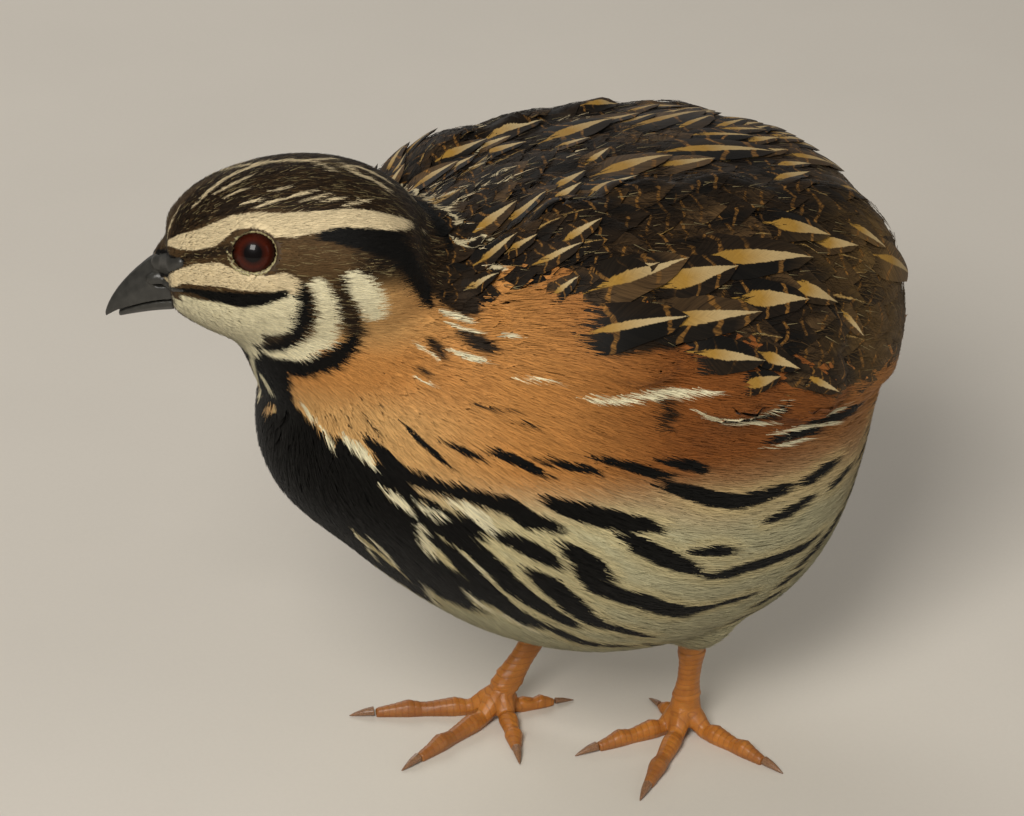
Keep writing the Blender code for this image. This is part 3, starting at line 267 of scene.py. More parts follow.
HEAD_MARKS = (
    ("white", ((16, 5.6, -5, 0.5), (13.5, 7.1, -6.2, 1.2), (10.5, 7.6, -8.2, 1.9), (7, 7.8, -10, 2),
      (4, 7.6, -11.4, 1.6))),
    ("white", ((15.4, 4.6, -6.4, 0.8), (13, 5.6, -8.4, 1.8), (10, 5.4, -10.4, 2.8), (6, 4.5, -13, 3.2))),
    ("umber", ((15, 5.2, 5.3, 0.8), (12.4, 4.5, 8.8, 2.72), (7.6, 4.3, 11.6, 4), (1.5, 4.5, 13.3, 4.48),
      (-5.3, 5.1, 13.4, 4.96), (-11.9, 5.5, 11.8, 4.48), (-17.6, 4, 9.1, 3.68), (-22.1, -4.7, 2.1, 3.2))),
    ("cream", ((15.7, 5.2, 4.2, 0.48), (13.7, 6.5, 4.9, 1.12), (11.5, 7.6, 5.4, 1.44), (8.7, 8.3, 6.3, 1.6),
      (5.2, 8.4, 8.4, 1.12), (1.7, 9, 8.9, 1.12), (-2, 10.1, 8.2, 1.76), (-5.3, 10.5, 8.2, 2),
      (-8.3, 10.2, 8.6, 1.52), (-12.4, 9.6, 8.4, 1.6), (-16.5, 8.6, 7.3, 1.6), (-19.3, 6.8, 6, 1.1),
      (-20.8, 4.6, 4.9, 0.5))),
    ("umber", ((13, 7.8, 2.9, 0.4), (10.4, 8.7, 3.5, 0.72), (8.3, 9.3, 4, 0.72), (5.8, 9.8, 4.7, 0.72))),
    ("black", ((18.5, 3.4, 0.2, 2.2), (16.5, 5, 0.8, 2), (14.8, 6.3, 1.2, 1.3), (13.2, 7.2, 2, 0.5))),
    ("cream", ((17.8, 4, -2.9, 0.2), (16.3, 5.3, -2.3, 0.8), (13.9, 7.7, -0.3, 1.12),
      (11.4, 8.8, 0.3, 1.68), (8, 9.8, 0.6, 1.92), (4.4, 10.8, -0.4, 1.44), (0.8, 11.6, -0.6, 1.28),
      (-2.2, 12.2, -0.3, 1.6), (-3.8, 12.4, -1.5, 1.12))),
    ("white", ((13.9, 7, -4, 0.48), (11.3, 7.9, -4.9, 1.12), (8.1, 8.6, -6.1, 2.08), (4.3, 9.1, -7.8, 3.04),
      (0.5, 10.5, -6.7, 3.2), (-2.5, 11.9, -4, 1.92))),
    ("black", ((18, 3.9, -3.8, 0.3), (16.2, 5.6, -3.3, 0.3), (14.8, 6.9, -2.6, 0.25),
      (11.8, 8.4, -2.5, 0.48), (9, 9.2, -3.1, 0.96), (5, 10.3, -3.5, 1.28), (1.7, 11.2, -3.2, 1.12),
      (-1.8, 12, -2, 0.56))),
    ("black", ((-4.3, 12.5, -0.5, 0.48), (-4.7, 12.3, -3.3, 1.12), (-4.2, 11.5, -6.6, 1.28),
      (-2.9, 10.1, -9.7, 1.2), (-0.6, 8.9, -12, 0.96), (2.2, 7.2, -13.3, 0.64), (4, 6.2, -12.8, 0.32))),
    ("white", ((-6.7, 12.8, -0.5, 1.12), (-7.7, 12.6, -3, 1.52), (-7.9, 11.8, -6.7, 1.6),
      (-6.5, 10.2, -10.7, 1.76), (-3.3, 9.5, -13.2, 1.36), (0.1, 8.1, -14.2, 0.8),
      (2.9, 6.6, -13.7, 0.32))),
    ("umber", ((-10.6, 12.7, 1.8, 0.72), (-10.7, 12.9, -0.4, 0.96), (-10.1, 12.7, -3.1, 1.12),
      (-11.3, 12, -6.2, 1.6), (-11.5, 10.7, -9.5, 1.44))),
    ("black", ((-10.7, 10.1, -11.7, 1.44), (-7.8, 10.1, -14.4, 1.68), (-3.7, 9.3, -16, 1.52),
      (0.4, 7.5, -16.3, 1.6), (3.1, 5.9, -15.2, 0.8))),
    ("white", ((-11.9, 12.8, 0.6, 0.96), (-12.9, 12.7, -1.3, 1.92), (-14.2, 12.3, -3.6, 2.08),
      (-14.8, 11.4, -6.4, 1.6))),
    ("drab", ((-2, 11.4, 5.2, 0.64), (-3.5, 11.9, 4.1, 2.08), (-5.9, 12.2, 3.9, 3.2),
      (-8.5, 12.5, 3.5, 3.2), (-10.3, 12.6, 2.8, 1.92))),
    ("black", ((-7.6, 11.4, 6.6, 0.64), (-10.8, 11.3, 6.4, 1.28), (-14.9, 11, 5.3, 1.76),
      (-18.7, 9.8, 3.5, 2.2), (-20.5, 7.5, 1.5, 1.6))),
    ("umber", ((-20, 8, 2, 1.6), (-22, 4.7, -1.1, 2.88), (-24.7, 2.2, -5.5, 3.2), (-27.2, 3, -8, 3.2),
      (-28.9, 4.2, -9.5, 2.08))),
    ("black", ((-18.4, 9.4, 4.4, 1.2), (-20, 9.8, 1.2, 1.9), (-21, 9, -2, 2), (-22, 6.5, -6, 1.6),
      (-22.7, 5.7, -8.4, 0.9))),
    ("cream", ((16.2, 4.2, 4.6, 0.16), (15.3, 3, 6.7, 0.24), (13.9, 1.9, 8.7, 0.16))),
    ("cream", ((11.6, 4.2, 9.6, 0.16), (9.2, 3.2, 11.6, 0.32), (6.3, 1.7, 13.1, 0.4),
      (2.3, 0.4, 14.3, 0.32), (-2.2, -0.1, 14.7, 0.32), (-6.7, -0.1, 14.4, 0.32),
      (-9.8, -2.3, 13.5, 0.24))),
    ("cream", ((-10.8, 0.8, 13.4, 0.24), (-13.3, -1.4, 12.4, 0.4), (-15.9, -1.3, 10.9, 0.48),
      (-17.9, -1.6, 9.3, 0.4))),
    ("cream", ((8.1, 4.1, 11.6, 0.12), (5, 3.6, 12.9, 0.28), (2, 2.9, 13.9, 0.12))),
    ("cream", ((3.8, 7, 10.8, 0.12), (2, 7.1, 11.2, 0.24), (0.2, 7.2, 11.6, 0.12))),
    ("cream", ((1.7, 7.9, 10.4, 0.12), (-0.4, 7.8, 11, 0.24), (-2.7, 7.6, 11.6, 0.12))),
    ("cream", ((-3.4, 7.7, 11.6, 0.12), (-5.5, 7.1, 12, 0.32), (-7.3, 6.7, 12.2, 0.12))),
    ("cream", ((-5.2, 8.2, 11.1, 0.12), (-7.3, 7.8, 11.4, 0.24), (-9.4, 7, 11.7, 0.12))),
    ("cream", ((-8.1, 8.2, 10.9, 0.12), (-9.9, 7.7, 11, 0.28), (-11.7, 7.1, 10.9, 0.12))),
    ("cream", ((-11.6, 8.3, 10, 0.12), (-13.3, 7.4, 10.1, 0.32), (-15, 6.2, 10, 0.12))),
    ("cream", ((-0.8, 6.4, 12.4, 0.08), (-3, 6.2, 12.7, 0.2), (-5, 5.7, 13, 0.08))),
    ("cream", ((6.3, 5.4, 11.4, 0.08), (4.4, 5.2, 12.2, 0.16), (2.6, 5.2, 12.7, 0.08))),
)
MANTLE_LINES = (
    ((-34.5, -7.2, 102.1, 0.6), (-31.1, -6.4, 99.9, 0.8), (-29.4, -8.3, 98.5, 0.3)),
    ((-32.1, -8.9, 98.7, 0.4), (-29.8, -9.7, 97.8, 0.9), (-28.2, -11.3, 96.9, 0.3)),
    ((-32.3, -10.9, 97.2, 0.3), (-30.9, -12, 96.2, 0.7), (-29.6, -13.8, 95.3, 0.3)),
    ((-32.8, -13.2, 95.2, 0.3), (-31.2, -14.5, 94.3, 0.8), (-29.8, -16.3, 93.6, 0.3)),
    ((-39.9, -13.4, 103.9, 0.3), (-36.6, -10.4, 101.9, 0.6), (-34.7, -8.7, 100.4, 0.3)),
    ((-34.8, -11.3, 97.4, 0.3), (-32.3, -12.4, 95.9, 0.6), (-30.5, -13.1, 95.4, 0.3)),
    ((-24, 14.2, 96.9, 0.3), (-25.4, 7.7, 98.8, 0.5), (-26.7, 2.3, 99.8, 0.3)),
    ((-27.3, 0.3, 100, 0.3), (-26.4, -2.3, 99.8, 0.6), (-26.3, -5.4, 99.2, 0.3)),
    ((-25.6, -7.5, 98.8, 0.3), (-25, -10.5, 98.1, 0.5), (-23.9, -12.6, 97.6, 0.2)),
    ((-27.2, -12, 96.9, 0.3), (-25.8, -13.7, 96.6, 0.6), (-24.4, -15.1, 96.4, 0.2)),
    ((-28.4, -14.2, 95.4, 0.3), (-27.1, -16.2, 94.8, 0.6), (-25.7, -17.8, 94.4, 0.2)),
    ((-26.8, 7.1, 98.8, 0.16), (-24.6, 6.2, 99.3, 0.24), (-21.7, 6.2, 99.9, 0.24),
      (-19.1, 5.7, 100.5, 0.16)),
    ((-27.6, 3.2, 99.9, 0.16), (-25.7, 3.2, 99.7, 0.24), (-23.9, 3.1, 100, 0.16)),
    ((-28.1, -1.4, 100.2, 0.24), (-26.1, -1.8, 99.8, 0.32), (-22.4, -1.3, 100.4, 0.32),
      (-19.6, -1.3, 100.8, 0.16)),
    ((-19.1, -0.2, 101, 0.16), (-17.6, -0.5, 101.2, 0.24), (-15.8, -0.5, 101.4, 0.12)),
    ((-16.1, -1.9, 101.3, 0.16), (-13.5, -1.2, 101.6, 0.32), (-11.2, -1.4, 101.7, 0.24),
      (-8.1, -1.6, 101.9, 0.12)),
    ((-20.1, 9.8, 99.4, 0.12), (-16.9, 10.1, 99.8, 0.16), (-14.9, 9.4, 100.3, 0.12)),
    ((-13.5, 9.5, 100.4, 0.12), (-10.1, 10.8, 100.3, 0.24), (-7.2, 11.1, 100.3, 0.12)),
    ((-15.6, 6.5, 100.8, 0.12), (-13.7, 6.5, 101, 0.24), (-11, 7.3, 101.1, 0.12)),
    ((-6.6, 11.2, 100.3, 0.12), (-2.6, 13.6, 99.4, 0.24), (-0.3, 13.3, 99.5, 0.12)),
    ((-8.9, 17.6, 97.5, 0.24), (-7.3, 16.2, 98.3, 0.48), (-5.3, 14.5, 99.1, 0.24)),
    ((3.1, 11.8, 99.8, 0.12), (8.3, 15.7, 98, 0.24), (11.1, 14.5, 98.3, 0.12)),
    ((-0.4, 8.4, 100.9, 0.12), (1.8, 8.8, 100.7, 0.16), (3.9, 9.6, 100.4, 0.12)),
    ((7.9, 12.1, 99.4, 0.12), (11.2, 15.4, 97.9, 0.16), (11.5, 12, 99.2, 0.08)),
    ((-27.6, -6.2, 99, 0.16), (-26.1, -6.1, 99.1, 0.32), (-24.8, -6.4, 99.2, 0.16)),
    ((-28.3, -9.9, 97.6, 0.24), (-27.2, -10.1, 97.7, 0.4), (-26.2, -10.5, 97.8, 0.16)),
    ((-28.4, -12.2, 96.5, 0.16), (-27.4, -12.3, 96.8, 0.32), (-26.1, -12.5, 97, 0.16)),
    ((-2.2, -1.1, 101.9, 0.12), (0, -0.1, 101.8, 0.24), (2.6, 1.3, 101.7, 0.12)),
)
# Streaked feathers: where the pale streak begins and ends, its half width, and how golden it is.
STREAKED = (
    ((-25.6, -9.1, 98.4), (-17.3, -8.2, 100.3), 1.04, 0.35),
    ((-20.7, -10.6, 99), (-12.7, -9.9, 100.3), 0.96, 0.45),
    ((-17.1, -14.1, 98.4), (-9.2, -12.9, 99.6), 0.88, 0.4),
    ((-12.3, -11.5, 99.9), (-7, -10.7, 100.4), 0.56, 0.3),
    ((-10.2, -8.7, 100.8), (-3.7, -7.2, 101.3), 0.64, 0.5),
    ((-0.3, -3.7, 101.7), (4.4, -2.4, 101.5), 0.4, 0.3),
    ((-28, -14, 95.7), (-21.3, -15.2, 97.1), 0.88, 0.3),
    ((-23.3, -15.9, 96.2), (-18.7, -16.6, 96.9), 0.64, 0.45),
    ((-21.4, -19.5, 94.6), (-14.3, -20.9, 95), 0.56, 0.2),
    ((-15.8, -19.3, 95.9), (-10.6, -19.3, 96.5), 0.48, 0.3),
    ((-31.4, -16.2, 93), (-27.3, -18, 93.6), 0.64, 0.1),
    ((-8, -13.4, 99.4), (2.3, -12.5, 99.6), 0.64, 0.1),
    ((-1.8, -7.7, 101.1), (12.1, -8.5, 100.1), 1.04, 0.75),
    ((8.6, -10.1, 100), (18.8, -10.6, 98.8), 0.72, 0.6),
    ((12.4, -5.1, 100.6), (31.8, -9.8, 96.4), 0.8, 0.7),
    ((21.1, 2, 99.9), (31, 5.7, 97.5), 0.4, 0.7),
    ((28.1, 1.1, 98.6), (35.9, 3.4, 96.4), 0.48, 0.75),
    ((30, -2.2, 98.1), (38.5, 0.4, 95.5), 0.48, 0.7),
    ((36.4, -1.7, 96.3), (42.1, -1.6, 93.5), 0.48, 0.75),
    ((30.8, -12.4, 95.8), (36.1, -12.9, 94), 0.64, 0.6),
    ((25.2, -17.8, 94.8), (33.4, -15.7, 93.6), 0.72, 0.6),
    ((17.3, -24.6, 91.6), (27, -26.5, 87.8), 1.12, 0.85),
    ((23.9, -26.8, 88.2), (31.3, -27.2, 85.3), 0.88, 0.7),
    ((2.4, -26.8, 90.9), (20.8, -28.6, 87), 1.12, 0.6),
    ((-6.7, -28.3, 89.5), (7.4, -28.7, 88.8), 1.28, 0.6),
    ((-16.4, -25.7, 90.8), (-0.2, -26.5, 91.4), 0.96, 0.4),
    ((-11.8, -25.5, 91.8), (-4.8, -26.2, 91.6), 0.48, 0.5),
    ((5.2, -31.4, 85.7), (17.5, -32.4, 82.5), 1.2, 0.6),
    ((16.2, -31.1, 84.8), (22.9, -32.5, 80.9), 1.04, 0.6),
    ((-19.5, -28.9, 86.2), (-3.4, -31.6, 85.6), 0.72, 0.2),
    ((-10.4, -30.9, 85.9), (7.9, -33.3, 82.6), 0.96, 0.5),
    ((-3.5, -34.4, 81.2), (5.2, -36.1, 77.7), 0.64, 0.35),
    ((5.7, -35.3, 79.1), (13, -36.6, 75), 0.72, 0.5),
    ((15.1, -37, 73), (19.4, -37.1, 69.9), 0.4, 0.4),
    ((2.7, -37.1, 75.3), (8.5, -37.1, 74.5), 0.72, 0.8),
    ((34.5, -19.9, 90.8), (47.3, -16.8, 81.5), 0.72, 0.5),
    ((43.8, -16.1, 87.3), (47.2, -16.9, 81.5), 0.48, 0.7),
    ((48.8, -14.4, 81.8), (46.9, -18.4, 79.6), 0.48, 0.7),
    ((32.9, -24.6, 87.4), (37.1, -25.9, 83.1), 0.48, 0.5),
    ((35, -27, 83.3), (42.1, -24.5, 77), 0.56, 0.6),
    ((25.5, -32.7, 79.4), (28.1, -33.7, 75.2), 0.32, 0.3),
    ((-20.3, -23.9, 91.5), (-17.3, -24.1, 92.1), 0.4, 0.2),
)


def head_axes():
    """The head's forward, left and up directions as the rows of an array."""
    turned = Matrix.Rotation(math.radians(-HEAD_TURN), 3, "Z")
    nodded = Matrix.Rotation(math.radians(-HEAD_NOD), 3, "Y")
    forward = turned @ nodded @ Vector((-1, 0, 0))
    upward = turned @ nodded @ Vector((0, 0, 1))
    return np.array((forward, upward.cross(forward), upward))


HEAD = head_axes()


def on_side(point, sign):
    """A point given for the left side, or its mirror image where sign is -1."""
    return np.array(point) * (1, sign, 1)


def in_head(points):
    """Points given forward, left and up of the head's centre, in the bird's frame."""
    return HEAD_CENTRE + np.asarray(points, float) @ HEAD


def to_head(points):
    return (np.asarray(points, float) - HEAD_CENTRE) @ HEAD.T


EYE_LOW, EYE_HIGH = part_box("eye_left")
SHIFT = np.array((EYE_LOW + EYE_HIGH) / 2) / MM - in_head(EYE_PLACE)
TO_WORLD = Matrix.Scale(MM, 4) @ Matrix.Translation(Vector(SHIFT))
FROM_WORLD = TO_WORLD.inverted()


def smooth(low, high, value):
    """0 below low, 1 above high, and an even curve between them."""
    t = np.clip((value - low) / (high - low), 0, 1)
    return t * t * (3 - 2 * t)


def unit(vectors):
    return vectors / np.maximum(np.linalg.norm(vectors, axis=-1, keepdims=True), 1e-9)


def square_to(axes, vectors):
    """Unit vectors, each turned square to its axis."""
    return unit(vectors - axes * np.sum(vectors * axes, axis=1, keepdims=True))


def mixed(a, b, share):
    return a + (b - a) * share[..., None]


def from_head(points):
    """Distance of each point from the head's centre."""
    return np.linalg.norm(points - HEAD_CENTRE, axis=1)


def head_share(points):
    """1 on the head, 0 on the body."""
    return 1 - smooth(17, 27, from_head(points))


def palette(name):
    return np.array(getattr(bpy.context.scene.quail_colours, name))


def sized(name):
    return getattr(bpy.context.scene.quail_coat, name)


def body_angles(points):
    """Angles along the body and around it, 0 at the side and 90 at the back, the same on both sides."""
    q = unit((points - BODY_CENTRE) / BODY_HALF)
    return np.degrees(np.arcsin(q[:, 0])), np.degrees(np.arctan2(q[:, 2], np.abs(q[:, 1])))


def placed(name, data):
    """A new object of the scene."""
    obj = bpy.data.objects.new(name, data)
    bpy.context.scene.collection.objects.link(obj)
    return obj


def settled(mesh):
    """A finished piece of the bird: it rides on the one body."""
    obj = placed(mesh.name, mesh)
    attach(obj, "root")
    return obj


def piece(name, bm, material):
    """A piece from a bmesh in the bird's frame."""
    bmesh.ops.transform(bm, matrix=TO_WORLD, verts=bm.verts)
    mesh = bpy.data.meshes.new(name)
    bm.to_mesh(mesh)
    bm.free()
    mesh.shade_smooth()
    mesh.materials.append(material)
    return settled(mesh)


def node_copy(node):
    """A merged copy of a CAD node's mesh, in the bird's frame."""
    bm = bmesh.new()
    bm.from_mesh(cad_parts[node].data)
    bmesh.ops.remove_doubles(bm, verts=bm.verts, dist=2e-6)
    bmesh.ops.transform(bm, matrix=FROM_WORLD, verts=bm.verts)
    bm.normal_update()
    return bm


def joined(parts):
    """One bmesh from several, which are freed."""
    whole = bmesh.new()
    scratch = bpy.data.meshes.new("scratch")
    for bm in parts:
        bm.to_mesh(scratch)
        whole.from_mesh(scratch)
        bm.free()
    bpy.data.meshes.remove(scratch)
    return whole


def modified(obj, kind, **settings):
    """Runs one modifier on the object's mesh."""
    modifier = obj.modifiers.new("step", kind)
    for key, value in settings.items():
        setattr(modifier, key, value)
    graph = bpy.context.evaluated_depsgraph_get()
    mesh = bpy.data.meshes.new_from_object(obj.evaluated_get(graph))
    obj.modifiers.clear()
    obj.data = mesh


def remade(bm, voxel, rounds, weights=None, extra=0):
    """Voxel remesh of a bmesh in millimetres, smoothed, and smoothed further where weights says so."""
    mesh = bpy.data.meshes.new("scratch")
    bm.to_mesh(mesh)
    bm.free()
    obj = placed("scratch", mesh)
    modified(obj, "REMESH", mode="VOXEL", voxel_size=voxel)
    modified(obj, "SMOOTH", factor=0.5, iterations=rounds)
    if weights:
        points = np.empty(len(obj.data.vertices) * 3)
        obj.data.vertices.foreach_get("co", points)
        group = obj.vertex_groups.new(name="soft")
        for index, weight in enumerate(weights(points.reshape(-1, 3))):
            group.add([index], float(weight), "REPLACE")
        modified(obj, "SMOOTH", factor=0.5, iterations=extra, vertex_group="soft")
    made = bmesh.new()
    made.from_mesh(obj.data)
    bpy.data.objects.remove(obj)
    return made


# Materials


class Number:
    """A shader value that takes part in sums written as plain expressions."""

    def __init__(self, graph, socket):
        self.graph, self.socket = graph, socket

    def combine(self, operation, *values):
        return self.graph.value("ShaderNodeMath", {"operation": operation}, dict(enumerate(values)))

    def __add__(self, other):
        return self.combine("ADD", self, other)

    def __radd__(self, other):
        return self.combine("ADD", other, self)

    def __sub__(self, other):
        return self.combine("SUBTRACT", self, other)

    def __rsub__(self, other):
        return self.combine("SUBTRACT", other, self)

    def __mul__(self, other):
        return self.combine("MULTIPLY", self, other)

    def __rmul__(self, other):
        return self.combine("MULTIPLY", other, self)

    def __truediv__(self, other):
        return self.combine("DIVIDE", self, other)

    def __pow__(self, other):
        return self.combine("POWER", self, other)

    def __abs__(self):
        return self.combine("ABSOLUTE", self)

    def fraction(self):
        return self.combine("FRACT", self)

    def below(self, level, softness):
        """1 where the value is well below the level, 0 well above it."""
        settings = {"interpolation_type": "SMOOTHSTEP"}
        inputs = {"Value": self, "From Min": level - softness, "From Max": level + softness}
        inputs.update({"To Min": 1, "To Max": 0})
        return self.graph.value("ShaderNodeMapRange", settings, inputs, "Result")


class Finish:
    """Builds one material's nodes."""

    def __init__(self, name, roughness, **fixed):
        self.material = bpy.data.materials.new(name)
        self.material.use_nodes = True
        self.tree = self.material.node_tree
        self.tree.nodes.clear()
        self.shader = self.tree.nodes.new("ShaderNodeBsdfPrincipled")
        output = self.tree.nodes.new("ShaderNodeOutputMaterial")
        self.tree.links.new(self.shader.outputs[0], output.inputs[0])
        self.shader.inputs["Roughness"].default_value = roughness
        for key, value in fixed.items():
            socket = key.replace("_", " ").title().replace("Ior", "IOR")
            self.shader.inputs[socket].default_value = value

    def node(self, kind, settings=None, inputs=None):
        made = self.tree.nodes.new(kind)
        for key, value in (settings or {}).items():
            if key == "stops":
                self.stops(made, value)
            else:
                setattr(made, key, value)
        for key, value in (inputs or {}).items():
            self.feed(made.inputs[key], value)
        return made

    def stops(self, ramp, values):
        elements = ramp.color_ramp.elements
        while len(elements) < len(values):
            elements.new(0.5)
        for element, (place, colour) in zip(elements, values):
            element.position = place
            element.color = (*colour, 1)

    def feed(self, socket, value):
        if isinstance(value, Number):
            self.tree.links.new(value.socket, socket)
        elif isinstance(value, bpy.types.NodeSocket):
            self.tree.links.new(value, socket)
        elif socket.type == "RGBA":
            socket.default_value = (*value, 1)
        else:
            socket.default_value = value

    def value(self, kind, settings, inputs, output=0):
        return Number(self, self.node(kind, settings, inputs).outputs[output])

    def attribute(self, name, output):
        return self.node("ShaderNodeAttribute", {"attribute_name": name}).outputs[output]

    def number(self, name):
        return Number(self, self.attribute(name, "Fac"))

    def parts(self, vector):
        split = self.node("ShaderNodeSeparateXYZ", None, {0: vector})
        return [Number(self, socket) for socket in split.outputs]

    def vector(self, x, y, z):
        return self.node("ShaderNodeCombineXYZ", None, {0: x, 1: y, 2: z}).outputs[0]

    def place(self):
        """Object coordinates in millimetres of the bird's frame."""
        metres = {0: self.node("ShaderNodeTexCoord").outputs["Object"], "Scale": 1 / MM}
        scaled = self.node("ShaderNodeVectorMath", {"operation": "SCALE"}, metres)
        moved = {0: scaled.outputs[0], 1: tuple(SHIFT)}
        return self.node("ShaderNodeVectorMath", {"operation": "SUBTRACT"}, moved).outputs[0]

    def noise(self, vector, scale, detail):
        inputs = {"Vector": vector, "Scale": scale, "Detail": detail}
        return self.value("ShaderNodeTexNoise", None, inputs, "Fac")

    def blend(self, share, first, second, kind="MIX"):
        settings = {"data_type": "RGBA", "blend_type": kind}
        return self.node("ShaderNodeMix", settings, {0: share, 6: first, 7: second}).outputs[2]

    def scaled(self, colour, amount):
        grey = self.node("ShaderNodeCombineColor", None, {0: amount, 1: amount, 2: amount}).outputs[0]
        return self.blend(1.0, colour, grey, "MULTIPLY")

    def bump(self, height, distance, strength):
        inputs = {"Height": height, "Distance": distance * MM, "Strength": strength}
        self.feed(self.shader.inputs["Normal"], self.node("ShaderNodeBump", None, inputs).outputs[0])

    def done(self, colour, roughness=None):
        self.feed(self.shader.inputs["Base Color"], colour)
        if roughness is not None:
            self.feed(self.shader.inputs["Roughness"], roughness)
        return self.material


def shared(name, make, *settings):
    """The material of that name, made when it is first asked for."""
    return bpy.data.materials.get(name) or make(name, *settings)


def feather_base(name):
    """Dull feather surface that the coat's materials start from."""
    return Finish(name, 0.62, sheen_weight=0.04, sheen_roughness=0.5, specular_ior_level=0.12)


def plumage(name, fringe, barbs, bars=0.0, contrast=1.0):
    """Feathers: painted ground, black and pale marks with barbed edges, and fine barbs."""
    f = feather_base(name)
    u, v, _ = f.parts(f.node("ShaderNodeUVMap", {"uv_map": "Vane"}).outputs[0])
    lot = f.number("Lot")
    across = abs(u * 2 - 1)
    hand = u.combine("GREATER_THAN", u, 0.5)
    along = v * barbs - across * (barbs * 0.36)
    seed = lot * 61 + hand * 7
    fine = f.noise(f.vector(along, seed, across * 0.8), 1.0, 2.0)
    coarse = f.noise(f.vector(along * 0.27, seed, across * 1.1), 1.0, 1.0)
    fray = (fine * 0.6 + coarse * 0.4 - 0.5) * (3.0 * fringe)
    black, pale, tint = f.parts(f.attribute("Marks", "Vector"))
    line = 0.5 + (fine - 0.5) * (2.4 * contrast)
    ground = f.scaled(f.attribute("Ground", "Color"), 0.62 + line * 0.5 + lot * 0.14)
    if bars:
        warp = f.noise(f.vector(v * 3.1, across * 1.7, lot * 37), 1.0, 1.0)
        wave = (v * 4.2 - across * 0.1 + warp * 0.6 + lot * 3).fraction()
        gap = f.noise(f.vector(v * 2.2, hand * 3.1, lot * 71), 1.3, 1.0)
        band = (abs(wave - 0.5) + fray * 0.12).below(0.09, 0.03) * (1 - gap.below(0.5, 0.04))
        ochre = f.scaled(f.blend(coarse, palette("drab"), palette("ochre")), 0.2 + line * 0.55)
        ground = f.blend(band * bars, ground, ochre)
    light = f.blend(tint, palette("white"), palette("gold" if bars else "ochre"))
    light = f.scaled(light, (0.58 if bars else 0.72) + fine * 0.36)
    ground = f.blend((pale + fray * 0.8).below(0, 0.12), ground, light)
    dark = f.scaled(palette("black"), 0.4 + line * 1.2)
    ground = f.blend((black + fray).below(0, 0.12), ground, dark)
    f.bump(fine, 0.05, 0.6)
    return f.done(ground)


def down_finish(name):
    """Loose barbs: the coat's colours, each barb with its own tone."""
    f = feather_base(name)
    lot = f.number("Lot")
    _, v, _ = f.parts(f.node("ShaderNodeUVMap", {"uv_map": "Vane"}).outputs[0])
    black, pale, tint = f.parts(f.attribute("Marks", "Vector"))
    tone = (0.7 + lot * 0.5) * (0.8 + v * 0.25)
    ground = f.scaled(f.attribute("Ground", "Color"), tone)
    light = f.scaled(f.blend(tint, palette("white"), palette("ochre")), tone)
    ground = f.blend(pale.below(0, 0.1), ground, light)
    ground = f.blend(black.below(0, 0.1), ground, f.scaled(palette("black"), 0.4 + lot * 1.1))
    return f.done(ground)


def back_finish():
    """Back, wing and tail feathers: plumage with ochre bars."""
    return shared("back plumage", plumage, 0.42, 46, 0.9, 1.8)


def skin_finish(name):
    """Downy skin under the coat, with the coat's own markings."""
    f = Finish(name, 0.7)
    place = f.place()
    down = f.noise(place, 2.2, 4.0)
    black, pale, tint = f.parts(f.attribute("Marks", "Vector"))
    ground = f.scaled(f.attribute("Ground", "Color"), 0.5 + down * 0.4)
    fray = (down - 0.5) * 1.2
    light = f.scaled(f.blend(tint, palette("white"), palette("ochre")), 0.6 + down * 0.4)
    ground = f.blend((pale + fray).below(0, 0.2), ground, light)
    ground = f.blend((black + fray).below(0, 0.2), ground, palette("black"))
    f.bump(down, 0.2, 0.5)
    return f.done(ground)


# The form that the coat fills, and the skin inside it

FORM = {}


def build_form():
    """Fills FORM with the outer form, one even surface over the solids: its tree, mesh and arrays."""
    wings = joined([node_copy("wing_left"), node_copy("wing_right")])
    tree = BVHTree.FromBMesh(wings)
    wings.free()
    parts = []
    grows = {"torso": 0.25, "neck": 0.25, "head": 0.14, "thigh_left": 0.25, "thigh_right": 0.25}
    grows.update({"wing_left": 0.2, "wing_right": 0.2, "tail": 0.2})
    for node, grow in grows.items():
        bm = node_copy(node)
        lift = 1.6 if node.startswith("thigh") else 0
        for vert in bm.verts:
            near = tree.find_nearest(vert.co, 3.0)[0] if node == "torso" else None
            vert.co += vert.normal * (1.3 if near else grow)
            vert.co.z += lift
        parts.append(bm)
    parts.append(muzzle())
    for _, sign in SIDES:
        for place in (EYE_PLACE, EYE_SOCKET):
            parts.append(ball_at(in_head(on_side(place, sign)), EYE_FILL, 4))
    bm = largest(remade(joined(parts), 0.73, 4, softness, 20))
    bmesh.ops.triangulate(bm, faces=bm.faces)
    bm.normal_update()
    FORM["tree"] = BVHTree.FromBMesh(bm)
    FORM["mesh"] = bm
    FORM["points"] = np.array([v.co for v in bm.verts])
    FORM["normals"] = np.array([v.normal for v in bm.verts])
    FORM["triangles"] = np.array([[v.index for v in f.verts] for f in bm.faces])


def ball_at(place, radius, subdivisions):
    bm = bmesh.new()
    there = Matrix.Translation(Vector(place))
    bmesh.ops.create_icosphere(bm, subdivisions=subdivisions, radius=radius, matrix=there)
    return bm


def muzzle():
    """The feathered face where it narrows on to the base of the bill."""
    bm = bmesh.new()
    bmesh.ops.create_cone(bm, cap_ends=True, segments=36, radius1=1, radius2=0.31, depth=5.6)
    for vert in bm.verts:
        x, y, z = vert.co
        vert.co = in_head((15.8 + z, 7.1 * x, -1.2 - 0.2 * z + 6.9 * y))
    bmesh.ops.recalc_face_normals(bm, faces=bm.faces)
    return bm


def softness(points):
    """How much the form is evened out: fully on the body and little on the head."""
    return 0.06 + 0.94 * smooth(17, 30, from_head(points))


